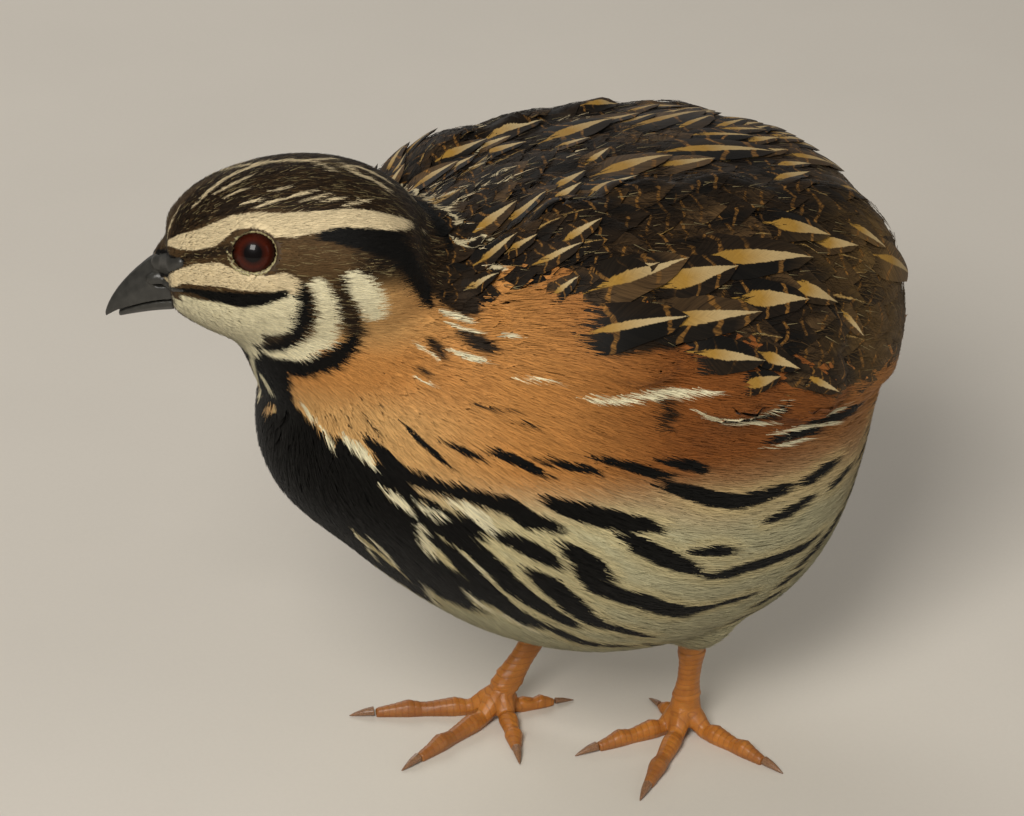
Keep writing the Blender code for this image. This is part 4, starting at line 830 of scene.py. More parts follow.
def largest(bm):
    """Keeps the largest connected surface of a bmesh."""
    bm.verts.ensure_lookup_table()
    seen = set()
    groups = []
    for start in bm.verts:
        if start in seen:
            continue
        seen.add(start)
        group = [start]
        for vert in group:
            for edge in vert.link_edges:
                other = edge.other_vert(vert)
                if other not in seen:
                    seen.add(other)
                    group.append(other)
        groups.append(group)
    groups.sort(key=len)
    for group in groups[:-1]:
        bmesh.ops.delete(bm, geom=group, context="VERTS")
    return bm


def from_eye(head, sign):
    """Distance from the line along which an eye looks, for points in the head's frame."""
    aim = unit(on_side(EYE_AIM, sign))
    gap = head - on_side(EYE_PLACE, sign)
    along = gap @ aim
    return np.where(along > 0, np.linalg.norm(gap - along[:, None] * aim, axis=1), 20.0)


def eye_distance(head):
    """Distance from the nearer eye, for points in the head's frame."""
    return np.min([np.linalg.norm(head - on_side(EYE_PLACE, sign), axis=1) for _, sign in SIDES], axis=0)


def eye_clear(points, margin):
    """True outside the eyes' openings and the bill."""
    head = to_head(points)
    clear = head[:, 0] < 18.2
    for _, sign in SIDES:
        clear &= from_eye(head, sign) > EYE_OPENING + margin
    return clear


def coat_depth(points):
    """How deep the coat is at each point."""
    head = to_head(points)
    far = from_head(points)
    _, around = body_angles(points)
    body = sized("body_depth") + (sized("back_depth") - sized("body_depth")) * smooth(10, 35, around)
    depth = sized("head_depth") + (body - sized("head_depth")) * smooth(15, 30, far)
    eye = np.minimum(from_eye(head, 1), from_eye(head, -1))
    depth *= 0.3 + 0.7 * smooth(3.6, 6.5, eye)
    return depth * (1 - 0.75 * smooth(11.5, 15.5, head[:, 0]) * (far < 26))


def lie(points, normals):
    """The way the feathers point: back from the bill over the head, and down the body to the tail."""
    flipped = points * np.where(points[:, 1:2] > 0, MIRROR, 1)
    side = np.clip(-flipped[:, 1:2] / 25, 0, 1)
    a = flipped - (-62, 0, 95.1)
    a[:, 1] = flipped[:, 1]
    b = np.concatenate((np.full_like(side, 60), -29.9 * side, np.full_like(side, 60)), axis=1) - flipped
    la, lb = (np.linalg.norm(q, axis=1, keepdims=True) / 60 for q in (a, b))
    flow = a / 60 / la ** 0.84 + 1.01 * b / 60 / lb ** 3.18
    flow += np.concatenate((np.full_like(side, 0.2), 0.17 * side, np.full_like(side, -0.24)), axis=1)
    down = smooth(44, 54, points[:, 0]) * smooth(40, 52, points[:, 2])
    flow = unit(flow)
    flow = mixed(flow, np.array((0.12, 0, -1.0)) + np.zeros_like(flow), down)
    flow[:, 1] *= np.where(points[:, 1] > 0, -1, 1)
    back = (unit(to_head(points) - (18.5, 0, -1.5)) + (-0.5, 0, -0.12)) @ HEAD
    flow = mixed(unit(flow), unit(back), 1 - smooth(17, 30, from_head(points)))
    return square_to(normals, flow)


# Markings


def stroke_distance(points, normals, stroke):
    """Distance along the surface from a stroke of changing half width, negative inside it."""
    found = np.full(len(points), FAR)
    ends = np.array([FORM["tree"].find_nearest(Vector(p[:3]))[0] for p in stroke])
    widths = np.array([p[3] for p in stroke])
    reach = widths.max() + 3.5
    inside = np.all((points > ends.min(0) - reach) & (points < ends.max(0) + reach), axis=1)
    if not inside.any():
        return found
    p, n = points[inside], normals[inside]
    best = np.full(len(p), FAR)
    for a, b, wide_a, wide_b in zip(ends, ends[1:], widths, widths[1:]):
        line = b - a
        t = np.clip((p - a) @ line / max(line @ line, 1e-9), 0, 1)
        gap = p - a - t[:, None] * line
        lift = np.sum(gap * n, axis=1)
        gap -= n * np.where(np.abs(lift) < 2.5, lift, 0)[:, None]
        best = np.minimum(best, np.linalg.norm(gap, axis=1) - (wide_a + (wide_b - wide_a) * t))
    found[inside] = best
    return found


def both_sides(points, normals, stroke):
    """The nearer of a stroke and, for the right side, its mirror image."""
    found = stroke_distance(points, normals, stroke)
    right = points[:, 1] > 0
    mirrored = stroke_distance(points[right] * MIRROR, normals[right] * MIRROR, stroke)
    found[right] = np.minimum(found[right], mirrored)
    return found


def both_cheeks(points, normals, stroke):
    """The nearer of a stroke given in the head's frame and its mirror image."""
    both = [[(*in_head(on_side(p[:3], sign)), p[3]) for p in stroke] for _, sign in SIDES]
    return np.minimum(*(stroke_distance(points, normals, line) for line in both))


def wing_edge(along):
    """The angle round the body above which the patterned back and wing begin, by the angle along it."""
    at = (-70, -46, -39, -35, -27, -22, -17, -12, -2, 6, 16, 29, 48, 70)
    return np.interp(along, at, (76, 66, 62, 58, 54, 48, 41, 32, 25, 17, 11, 9, 8, -4))


def above_edge(points):
    """Degrees round the body above the edge where the patterned back begins; the tail is part of it."""
    along, around = body_angles(points)
    x, y, z = points.T
    tail = smooth(10, 7, np.abs(y)) * smooth(45, 50, x) * smooth(34, 40, z)
    return around - wing_edge(along) + 120 * tail


def painted(points, normals, back=None):
    """Ground colour and marks (black distance, pale distance, warmth of the pale) at each point.

    back is 1 or 0 for feathers that belong wholly to the back or to the underparts.
    """
    x, _, z = points.T
    buff, rufous, belly, cream = (palette(n) for n in ("buff", "rufous", "belly", "cream"))
    umber, olive, black, drab = (palette(n) for n in ("umber", "olive", "black", "drab"))
    line = 63 - 0.1 * (x + 20)
    warm = 0.85 * smooth(-34, -6, x) * smooth(line - 9, line + 5, z) * (1 - 0.6 * smooth(14, 34, x))
    ground = mixed(buff + np.zeros_like(points), rufous, warm)
    ground = mixed(ground, belly, smooth(line + 4, line - 13 + 5 * smooth(2, -18, x), z) * 0.95)
    ground = mixed(ground, buff * 0.8, 0.75 * smooth(20, 50, x) * smooth(30, 52, z))
    ground = mixed(ground, cream, 0.3 * smooth(-30, -50, x) * (smooth(82, 74, z) + smooth(84, 90, z)))
    back = smooth(-3, 3, above_edge(points)) if back is None else np.full(len(points), float(back))
    rump = 0.85 * smooth(12, 40, x) * smooth(96, 87, z)
    brown = mixed(umber * 0.7 + black * 0.3 + np.zeros_like(points), olive * 1.6, rump)
    ground = mixed(ground, brown, back)
    far = from_head(points)
    head = to_head(points)
    nape = back * (1 - smooth(24, 36, far))
    ground = mixed(ground, umber * 0.6 + black * 0.4, nape * 0.8)
    face = 1 - smooth(17, 19.5, far)
    ground = mixed(ground, drab * 0.6 + umber * 0.4, face * smooth(-12, -6, head[:, 2]))
    dark = np.full(len(points), NO_MARK)
    pale = dark.copy()
    tint = np.zeros(len(points))
    tints = {"white": 0.0, "cream": 0.3, "ochre": 0.75}
    strokes = [(kind, both_sides, s) for kind, s in BODY_MARKS]
    strokes += [("cream", both_sides, s) for s in MANTLE_LINES]
    strokes += [(kind, both_cheeks, s) for kind, s in HEAD_MARKS]
    for kind, reach, stroke in strokes:
        d = reach(points, normals, stroke)
        if kind in tints:
            tint = np.where(d < pale, tints[kind], tint)
            dark, pale = np.maximum(dark, -d), np.minimum(pale, d)
        elif kind == "black":
            if reach is both_sides:
                d = d - (0.2 + 0.3 * smooth(0, -25, x)) * smooth(68, 62, z)
            dark, pale = np.minimum(dark, d), np.maximum(pale, -d)
        else:
            dark, pale = np.maximum(dark, -d), np.maximum(pale, -d)
            ground = mixed(ground, palette(kind), smooth(0.35, -0.35, d))
    rim = smooth(2.6, 0.2, np.abs(dark)) * smooth(64, 56, z) * (1 - face)
    ground = mixed(ground, cream, 0.45 * rim)
    return ground, np.stack((dark, pale, tint), axis=1)


def unwrapped(points):
    """Places on an unwrap of the skin: the head and the body each on its own part of the map."""
    turn = np.arctan2(points[:, 1], points[:, 2] - BODY_CENTRE[2])
    along = points[:, 0] - BODY_CENTRE[0]
    body = np.stack((0.02 + 0.94 * (turn / math.tau + 0.5), 0.03 + 0.58 * (along + 62) / 124), axis=1)
    head = to_head(points)
    turn = np.arctan2(head[:, 1], head[:, 2])
    crown = np.stack((0.02 + 0.94 * (turn / math.tau + 0.5), 0.66 + 0.3 * (head[:, 0] + 24) / 43), axis=1)
    on_head = from_head(points) < HEAD_COAT
    return np.clip(np.where(on_head[:, None], crown, body), 0.001, 0.995)


def written(mesh, name, values, kind="FLOAT", field="value"):
    """Writes one named value for each vertex into the mesh."""
    layer = mesh.attributes.new(name, kind, "POINT")
    layer.data.foreach_set(field, values.astype(np.float32).ravel())


def named_values(mesh, ground, marks, lot):
    """Writes the paint of each vertex into the mesh."""
    colour = np.ones((len(mesh.vertices), 4))
    colour[:, :3] = ground
    written(mesh, "Ground", colour, "FLOAT_COLOR", "color")
    written(mesh, "Marks", marks, "FLOAT_VECTOR", "vector")
    written(mesh, "Lot", lot)


def build_skin():
    bm = FORM["mesh"].copy()
    points, normals = FORM["points"], FORM["normals"]
    ground, marks = painted(points, normals)
    depth = coat_depth(points)
    head = to_head(points)
    for _, sign in SIDES:
        socket = smooth(EYE_OPENING + 0.5, EYE_OPENING - 0.4, from_eye(head, sign))
        depth = np.maximum(depth, 2.6 * socket)
    inner = points - normals * depth[:, None]
    for vert, place in zip(bm.verts, inner):
        vert.co = place
    skin = piece("skin", bm, skin_finish("quail skin"))
    named_values(skin.data, ground, marks, np.zeros(len(points)))
    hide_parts("torso", "neck", "head", "thigh_left", "thigh_right")


# Feathers

NEIGHBOURS = [(p, q, r) for p in (-1, 0, 1) for q in (-1, 0, 1) for r in (-1, 0, 1)]
BAND = 0.3


def triangles_of_form():
    """Middles and areas of the form's triangles."""
    a, b, c = np.moveaxis(FORM["points"][FORM["triangles"]], 1, 0)
    return (a + b + c) / 3, np.linalg.norm(np.cross(b - a, c - a), axis=1) / 2


def drawn(rng, weight, count):
    """Random places on the form with their normals. weight says how often each triangle is drawn."""
    chosen = rng.choice(len(weight), count, p=weight / weight.sum())
    a, b = rng.random((2, count))
    turn = a + b > 1
    a[turn], b[turn] = 1 - a[turn], 1 - b[turn]
    shares = np.stack((1 - a - b, a, b), axis=1)[:, :, None]
    corners = FORM["triangles"][chosen]
    places, normals = (np.sum(FORM[key][corners] * shares, axis=1) for key in ("points", "normals"))
    return places, unit(normals)


def strewn(count, keep, seed):
    """Random places on the form with their normals, where keep holds."""
    middle, area = triangles_of_form()
    return drawn(np.random.default_rng(seed), area * keep(middle), count)


def scattered(spacing, keep, seed):
    """Roots spread over the form at the distance that spacing gives, where keep holds."""
    middle, area = triangles_of_form()
    weight = area * keep(middle) / spacing(middle) ** 2
    places, normals = drawn(np.random.default_rng(seed), weight, int(weight.sum() * 4))
    apart = spacing(places)
    taken = []
    for band in range(int(np.log(apart.max() / apart.min()) / BAND) + 1):
        low = apart.min() * math.exp(BAND * band)
        cell = low * 1.35
        grid = {}
        for index in np.nonzero((apart >= low) & (apart < low * math.exp(BAND)))[0]:
            x, y, z = places[index]
            i, j, k = int(x // cell), int(y // cell), int(z // cell)
            limit = apart[index] ** 2
            around = ((i + p, j + q, k + r) for p, q, r in NEIGHBOURS)
            others = (other for key in around for other in grid.get(key, ()))
            if not any((u - x) ** 2 + (v - y) ** 2 + (w - z) ** 2 < limit for u, v, w in others):
                grid.setdefault((i, j, k), []).append((x, y, z))
                taken.append(index)
    return places[taken], normals[taken]


def on_form(points):
    """The nearest places of the form and its normals there."""
    nearest = FORM["tree"].find_nearest
    found = np.array([nearest(Vector(p))[:2] for p in points.reshape(-1, 3)])
    return found[:, 0].reshape(points.shape), found[:, 1].reshape(points.shape)


def courses(roots, normals, lengths, stations, aims=None):
    """Middle lines of the feathers, laid over the form from the roots: places, normals and aims."""
    aim = lie(roots, normals) if aims is None else aims
    places, ups, ways = [roots], [normals], [aim]
    for _ in range(stations - 1):
        step = places[-1] + ways[-1] * (lengths / (stations - 1))[:, None]
        place, up = on_form(step)
        up = unit(up + ups[-1])
        way = lie(place, up) if aims is None else ways[-1]
        way = unit(0.5 * way + 0.5 * ways[-1])
        way = square_to(up, way)
        places.append(place)
        ups.append(up)
        ways.append(way)
    return np.stack(places, 1), np.stack(ups, 1), np.stack(ways, 1)


def vane_faces(stations, columns):
    """Triangles of one closed vane, the top places that its underside repeats, and its vertex count."""
    def top(i, j):
        return stations * columns - columns if i == stations - 1 else i * columns + j

    count = (stations - 1) * columns + 1
    under = {}
    for i in range(1, stations - 1):
        for j in range(1, columns - 1):
            under[i, j] = count + len(under)

    def low(i, j):
        return under.get((i, j), top(i, j))

    faces = []
    for side in (top, low):
        for i in range(stations - 1):
            for j in range(columns - 1):
                ring = [side(i, j), side(i, j + 1), side(i + 1, j + 1), side(i + 1, j)]
                if side is top:
                    ring.reverse()
                for triangle in ((ring[0], ring[1], ring[2]), (ring[0], ring[2], ring[3])):
                    if len(set(triangle)) == 3:
                        faces.append(triangle)
    backs = [i * columns + j for i, j in under]
    return np.array(faces), np.array(backs, int), count + len(under)


def vane_points(course, half, low, high, shape, rng, ragged, columns, wrap):
    """Vertices, places on the form, ways up, top normals, and shares along and across the vanes."""
    centre, up, way = course
    count, stations = centre.shape[:2]
    side = np.cross(up, way)
    s = np.linspace(0, 1, stations)
    across = np.linspace(-1, 1, columns)
    broad = shape(s) + np.zeros((count, 1))
    width = half[:, None] * broad
    rim = np.abs(across) > 0.9
    jitter = 1 + ragged * rng.uniform(-1, 1, (count, stations, columns)) * rim
    shift = ragged * 1.2 * rng.uniform(-1, 1, (count, stations, columns)) * rim
    length = np.linalg.norm(centre[:, -1] - centre[:, 0], axis=1)
    chevron = 0.9 * half / length
    slide = -chevron[:, None, None] * np.abs(across) * broad[:, :, None] * 0.6 + shift / stations
    places = centre[:, :, None] + (side * width[:, :, None])[:, :, None] * (across * jitter)[..., None]
    places = places + way[:, :, None] * (slide * length[:, None, None])[..., None]
    ups = np.repeat(up[:, :, None], columns, axis=2)
    if wrap:
        places, found = on_form(places)
        ups = unit(ups + found)
    rise = low[:, None] + (high - low)[:, None] * s ** 0.9
    dome = 0.07 * half[:, None] * broad
    height = rise[:, :, None] + dome[:, :, None] * (1 - across ** 2)
    raised = places + ups * height[..., None]
    near = np.gradient(raised, axis=1)
    over = np.gradient(raised, axis=2)
    tops = unit(np.cross(near, over))
    tops *= np.sign(np.sum(tops * ups, axis=-1, keepdims=True) + 1e-9)
    tops[:, -1] = tops[:, -2]
    return raised, places, ups, tops, s, across


def thick_vanes(name, course, half, low, high, shape, paint, material, slot, seed, thin,
                columns=3, ragged=0.12, wrap=False, relief=1):
    """A piece of many closed vanes. paint gives ground and marks from places, normals, shares and lots."""
    rng = np.random.default_rng(seed)
    count, stations = course[0].shape[:2]
    made = vane_points(course, half, low, high, shape, rng, ragged, columns, wrap)
    raised, places, ups, tops, s, across = made
    tip = (stations - 1) * columns
    order = [*range(tip), tip + columns // 2]
    faces, backs, each = vane_faces(stations, columns)

    def rows(values):
        body = values.reshape(count, stations * columns, -1)[:, order]
        return np.concatenate((body, body[:, backs]), axis=1)

    points, ground_at, up, normal = rows(raised), rows(places), rows(ups), rows(tops)
    sunk = len(order)
    points[:, sunk:] -= up[:, sunk:] * thin
    normal = unit(normal * relief + up * (1 - relief))
    normal[:, sunk:] *= -1
    shares = np.stack(np.broadcast_arrays(across[None, :], s[:, None]), axis=-1)
    shares = rows(np.broadcast_to(shares, (count, stations, columns, 2)))
    lot = np.repeat(rng.random(count)[:, None], each, axis=1)
    ground, marks = paint(ground_at.reshape(-1, 3), up.reshape(-1, 3), shares, lot)
    vane = np.stack(((shares[..., 0] + 1) / 2, shares[..., 1]), axis=-1)
    patch = unwrapped(course[0][:, 0])[:, None] + (vane - (0.5, 0)) * PATCH
    return many(name, points, faces, normal, vane, patch, ground, marks, lot, material, slot)


def many(name, points, faces, normals, vane, patch, ground, marks, lot, material, slot):
    """A piece of many small closed shapes with the same faces: arrays of shapes by vertices."""
    count, each = points.shape[:2]
    mesh = bpy.data.meshes.new(name)
    corners = (faces[None] + (np.arange(count) * each)[:, None, None]).reshape(-1)
    mesh.vertices.add(count * each)
    mesh.vertices.foreach_set("co", ((points.reshape(-1, 3) + SHIFT) * MM).astype(np.float32).ravel())
    mesh.loops.add(len(corners))
    mesh.loops.foreach_set("vertex_index", corners.astype(np.int32))
    mesh.polygons.add(len(corners) // 3)
    mesh.polygons.foreach_set("loop_start", np.arange(0, len(corners), 3, dtype=np.int32))
    mesh.update(calc_edges=True)
    mesh.shade_smooth()
    for layer, values in (("Vane", vane), ("OFBake", patch)):
        uv = mesh.uv_layers.new(name=layer)
        uv.data.foreach_set("uv", values.reshape(-1, 2)[corners].astype(np.float32).ravel())
    named_values(mesh, ground.reshape(-1, 3), marks.reshape(-1, 3), lot.ravel())
    mesh.normals_split_custom_set_from_vertices(normals.reshape(-1, 3).astype(np.float32))
    mesh.materials.append(material)
    return settled(mesh)


SLIVER = np.array(((1, 0, 3), (0, 2, 3), (1, 3, 2), (0, 1, 2)))


def loose_barbs(name, roots, normals, length, half, low, high, spread, slot, seed, back=None, flecks=0):
    """Fine loose barbs over the vanes: thin closed slivers, each of the colour found near its root."""
    rng = np.random.default_rng(seed)
    way = lie(roots, normals)
    side = np.cross(normals, way)
    way = unit(way + side * (rng.normal(0, spread, len(roots)))[:, None])
    side = np.cross(normals, way)
    tips, up = on_form(roots + way * length[:, None])
    base = roots + normals * low[:, None]
    arm = side * half[:, None]
    points = np.stack((base - arm, base + arm, base - normals * 0.08, tips + up * high[:, None]), axis=1)
    turned = np.stack((normals - 0.35 * side, normals + 0.35 * side, normals, up), axis=1)
    ground, marks = painted(roots + way * (0.4 * length)[:, None], normals, back)
    dark = smooth(0.2, 0.05, ground.max(axis=1)) * (marks[:, :2].min(axis=1) > 0.3)
    ground = mixed(ground, palette("cream") * 0.4, 0.8 * dark * (rng.random(len(roots)) < flecks))
    ground = mixed(ground, palette("drab"), 0.7 * dark * (rng.random(len(roots)) < 2 * flecks))
    lot = np.repeat(rng.random(len(roots))[:, None], 4, axis=1)
    vane = np.broadcast_to(((0, 0), (1, 0), (0.5, 0), (0.5, 1)), (len(roots), 4, 2))
    patch = unwrapped(roots)[:, None] + (vane - (0.5, 0)) * PATCH
    spread_out = [np.repeat(values[:, None], 4, axis=1) for values in (ground, marks)]
    material = shared("loose barbs", down_finish)
    return many(name, points, SLIVER, unit(turned), vane, patch, *spread_out, lot, material, slot)


def build_loose_barbs():
    """Barbs over the head, then over breast, flanks and belly, then over back and wings."""
    def on_head(p):
        return (from_head(p) < HEAD_COAT) & eye_clear(p, 0.7)

    def on_body(p):
        return (from_head(p) > BODY_COAT) & (above_edge(p) < 0) & (p[:, 2] > BELLY_LOW)

    def on_back(p):
        return (from_head(p) > BODY_COAT) & (above_edge(p) > 0) & (p[:, 2] > 40)

    rng = np.random.default_rng(SEED + 40)
    roots, normals = strewn(HEAD_BARBS, on_head, SEED + 41)
    head = to_head(roots)
    length = 1.1 + 1.3 * smooth(14, -8, head[:, 0]) + 0.8 * (1 - head_share(roots))
    length *= 0.55 + 0.45 * smooth(5, 8, eye_distance(head))
    length *= rng.uniform(0.7, 1.2, len(roots))
    low = rng.uniform(-0.2, -0.02, len(roots))
    high = rng.uniform(0.04, 0.3, len(roots))
    half = 0.05 + 0.012 * length
    loose_barbs("head_barbs", roots, normals, length, half,
                low, high, 0.17, "plumage_head", SEED + 42, flecks=0.08)
    roots, normals = strewn(BODY_BARBS, on_body, SEED + 43)
    for part, chosen in enumerate(np.array_split(np.argsort(roots[:, 0]), 2)):
        near = roots[chosen]
        length = (1.9 + 1.7 * smooth(22, 50, from_head(near))) * rng.uniform(0.7, 1.25, len(near))
        low = rng.uniform(-0.3, -0.05, len(near))
        high = rng.uniform(0.0, 0.3, len(near))
        loose_barbs(f"body_barbs_{part + 1}", near, normals[chosen], length, 0.04 + 0.016 * length,
                    low, high, 0.09, "plumage_body", SEED + 44 + part, 0)
    roots, normals = strewn(BACK_BARBS, on_back, SEED + 47)
    length = (1.4 + 1.2 * smooth(-44, -10, roots[:, 0])) * rng.uniform(0.6, 1.3, len(roots))
    low = rng.uniform(-0.2, 0.2, len(roots))
    high = rng.uniform(0.0, 0.2, len(roots))
    loose_barbs("back_barbs", roots, normals, length, 0.035 + 0.012 * length,
                low, high, 0.2, "plumage_wing", SEED + 48, 1, flecks=0.05)


def rounded(s):
    """Width of a body feather from root to tip."""
    tip = np.sqrt(np.clip(1 - ((s - 0.5) / 0.5).clip(0) ** 2.6, 0, 1))
    return 0.35 + 0.65 * smooth(0, 0.45, s) * tip - 0.35 * smooth(0.75, 1, s)


def pointed(s):
    """Width of a long feather that narrows to its tip."""
    return (0.45 + 0.55 * smooth(0, 0.35, s)) * np.clip(1 - s, 0, 1) ** 0.45 * (1 + 0.25 * s)


def plain_paint(back=None):
    """Paint of feathers that show ground and marks alone."""
    return lambda points, normals, shares, lot: painted(points, normals, back)


def build_head_feathers():
    def spacing(p):
        head = to_head(p)
        fine = sized("head_spacing") * (0.8 + 0.3 * smooth(10, -12, head[:, 0]))
        return fine + 0.55 * (1 - head_share(p))

    def keep(p):
        return (from_head(p) < HEAD_COAT) & eye_clear(p, 0.6)

    roots, normals = scattered(spacing, keep, SEED)
    head = to_head(roots)
    rng = np.random.default_rng(SEED + 1)
    length = 1.2 + 1.5 * smooth(14, -6, head[:, 0]) + 1.6 * (1 - head_share(roots))
    length *= (0.6 + 0.4 * smooth(5, 8, eye_distance(head))) * rng.uniform(0.85, 1.15, len(roots))
    half = 0.27 * length ** 0.6 + 0.08
    depth = coat_depth(roots)
    high = rng.uniform(-0.08, 0.06, len(roots))
    for part, chosen in enumerate(np.array_split(np.argsort(head[:, 0]), 2)):
        course = courses(roots[chosen], normals[chosen], length[chosen], 5)
        made = (course, half[chosen], -depth[chosen], high[chosen], rounded, plain_paint())
        finish = shared("head plumage", plumage, 0.3, 6)
        thick_vanes(f"head_feathers_{part + 1}", *made, finish, "plumage_head", SEED + part,
                    thin=0.04, relief=0.5)


def build_body_feathers():
    def spacing(p):
        return sized("body_spacing") * (0.78 + 0.22 * smooth(22, 45, from_head(p)))

    def keep(p):
        return (from_head(p) > BODY_COAT) & (above_edge(p) < 6) & (p[:, 2] > BELLY_LOW)

    roots, normals = scattered(spacing, keep, SEED + 2)
    rng = np.random.default_rng(SEED + 3)
    far = smooth(20, 55, from_head(roots))
    length = (4.2 + 3.2 * far) * rng.uniform(0.85, 1.2, len(roots))
    half = (0.85 + 0.5 * far) * rng.uniform(0.85, 1.15, len(roots))
    depth = coat_depth(roots)
    high = rng.uniform(-0.3, -0.05, len(roots))
    parts = math.ceil(len(roots) * VANE_FACES / PIECE_LIMIT)
    for part, chosen in enumerate(np.array_split(np.argsort(roots[:, 0]), parts)):
        course = courses(roots[chosen], normals[chosen], length[chosen], 6)
        made = (course, half[chosen], -depth[chosen], high[chosen], rounded, plain_paint(0))
        finish = shared("body plumage", plumage, 0.6, 20)
        thick_vanes(f"body_feathers_{part + 1}", *made, finish, "plumage_body", SEED + 10 + part,
                    ragged=0.16, relief=0.4, thin=0.3)


def barred_paint(points, normals, shares, lot):
    """Back and wing feathers: each with its own tone, many with a dark half, some pale at shaft or edge."""
    ground, marks = painted(points, normals, 1)
    own = lot.reshape(-1)
    across, s = shares[..., 0].reshape(-1), shares[..., 1].reshape(-1)
    rear = smooth(16, 42, points[:, 0])
    brown = mixed(palette("umber") * 1.2, palette("drab"), (own * 5) % 1)
    brown = mixed(ground, brown, (0.8 - 0.4 * rear) * ((own * 11) % 1 < 0.55))
    ground = brown * (0.6 + 0.6 * own[:, None])
    web = across * np.where((own * 23) % 1 < 0.5, 1, -1)
    blot = smooth(-0.15, 0.15, web + 0.5 * ((own * 7) % 1 - 0.3)) * smooth(0.95, 0.8, s)
    spotted = (own * 31) % 1 < 0.75 - 0.3 * rear
    ground = mixed(ground, palette("black"), (0.9 - 0.35 * rear) * blot * spotted)
    ground = mixed(ground, palette("black") + palette("umber") * 0.3, 0.6 * smooth(0.3, 0.1, s))
    edge = (1 - np.abs(across)) * 3 + 2.5 * smooth(0.5, 0.35, s)
    pick = (own * 17) % 1
    shaft = np.where(pick < 0.12, np.abs(across) * 3.4 - 0.3 * smooth(1, 0.4, s), NO_MARK)
    rim = np.where((pick > 0.6) & (web < 0), edge - 0.12, NO_MARK)
    marks[:, 1] = np.minimum(marks[:, 1], np.minimum(shaft, rim))
    marks[:, 2] = np.where(np.minimum(shaft, rim) < 1, 0.9, marks[:, 2])
    return ground, marks


def build_back_feathers():
    def spacing(p):
        return sized("back_spacing") * (0.6 + 0.4 * smooth(-36, -6, p[:, 0]))

    def keep(p):
        return (from_head(p) > 21) & (above_edge(p) > 1) & (p[:, 2] > 38)

    roots, normals = scattered(spacing, keep, SEED + 4)
    rng = np.random.default_rng(SEED + 5)
    x = roots[:, 0]
    length = (6 + 7 * smooth(-40, -4, x)) * rng.uniform(0.9, 1.15, len(roots))
    half = (1.8 + 2.0 * smooth(-40, -4, x)) * rng.uniform(0.9, 1.1, len(roots))
    depth = coat_depth(roots)
    high = rng.uniform(-0.25, 0.15, len(roots))
    course = courses(roots, normals, length, 8)
    coat = thick_vanes("back_feathers", course, half, -depth, high, rounded, barred_paint, back_finish(),
                       "plumage_wing", SEED + 20, columns=7, ragged=0.05, wrap=True, thin=0.35)
    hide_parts("wing_left", "wing_right", "tail")


def build_streaked_feathers():
    """Long pale-shafted feathers of mantle, shoulder and wing at traced places, and a few on the rump."""
    rng = np.random.default_rng(SEED + 6)
    roots, tips, wide, tints = [], [], [], []
    for sign in (1, -1):
        for root, tip, half, tint in STREAKED:
            drift = rng.uniform(-1.4, 1.4, 3) if sign < 0 else np.zeros(3)
            roots.append(on_side(root, sign) + drift)
            tips.append(on_side(tip, sign) + drift)
            wide.append(half)
            tints.append(tint)
    for x in (14, 22, 30, 38, 45):
        for y in np.arange(-14, 15, 7.0) + (3 if x % 4 else 0):
            if x < 26 and y < 4:
                continue
            root = on_form(np.array([(x, y, 104.0)]) + rng.uniform(-1.5, 1.5, 3))
            roots.append(root[0][0])
            tips.append(root[0][0] + lie(*root)[0] * rng.uniform(6, 10))
            wide.append(rng.uniform(0.4, 0.8))
            tints.append(0.7)
    roots, normals = on_form(np.array(roots))
    tips, _ = on_form(np.array(tips))
    span = np.linalg.norm(tips - roots, axis=1)
    aims = unit(tips - roots)
    roots, normals = on_form(roots - aims * 1.5)
    length = span + 1.5
    wide, tints = np.array(wide), np.array(tints)
    half = np.clip(0.28 * length, 2.0, 4.4)
    course = courses(roots, normals, length, 10, square_to(normals, aims))

    def paint(points, ups, shares, lot):
        ground, marks = barred_paint(points, ups, shares, lot)
        each = lot.shape[1]
        span_across = np.abs(shares[..., 0]).reshape(-1) * np.repeat(half, each)
        s = shares[..., 1].reshape(-1)
        lance = np.repeat(wide * (1.2 + 0.9 * smooth(-27, -12, roots[:, 0])), each)
        lance *= np.clip(1 - s, 0, 1) ** 0.75 * smooth(-0.05, 0.55, s) ** 1.2
        marks[:, 1] = span_across - lance - 0.15 * smooth(1, 0.8, s)
        marks[:, 2] = 0.5 + 0.3 * np.repeat(tints, each) + 0.45 * smooth(0.75, 0.2, s)
        marks[:, 0] = NO_MARK
        return ground, marks

    depth = coat_depth(roots)
    thick_vanes("streaked_feathers", course, half, -0.3 * depth, np.full(len(roots), 0.75), pointed, paint,
                back_finish(), "plumage_wing", SEED + 21, columns=11, ragged=0.05, wrap=True, thin=0.3)


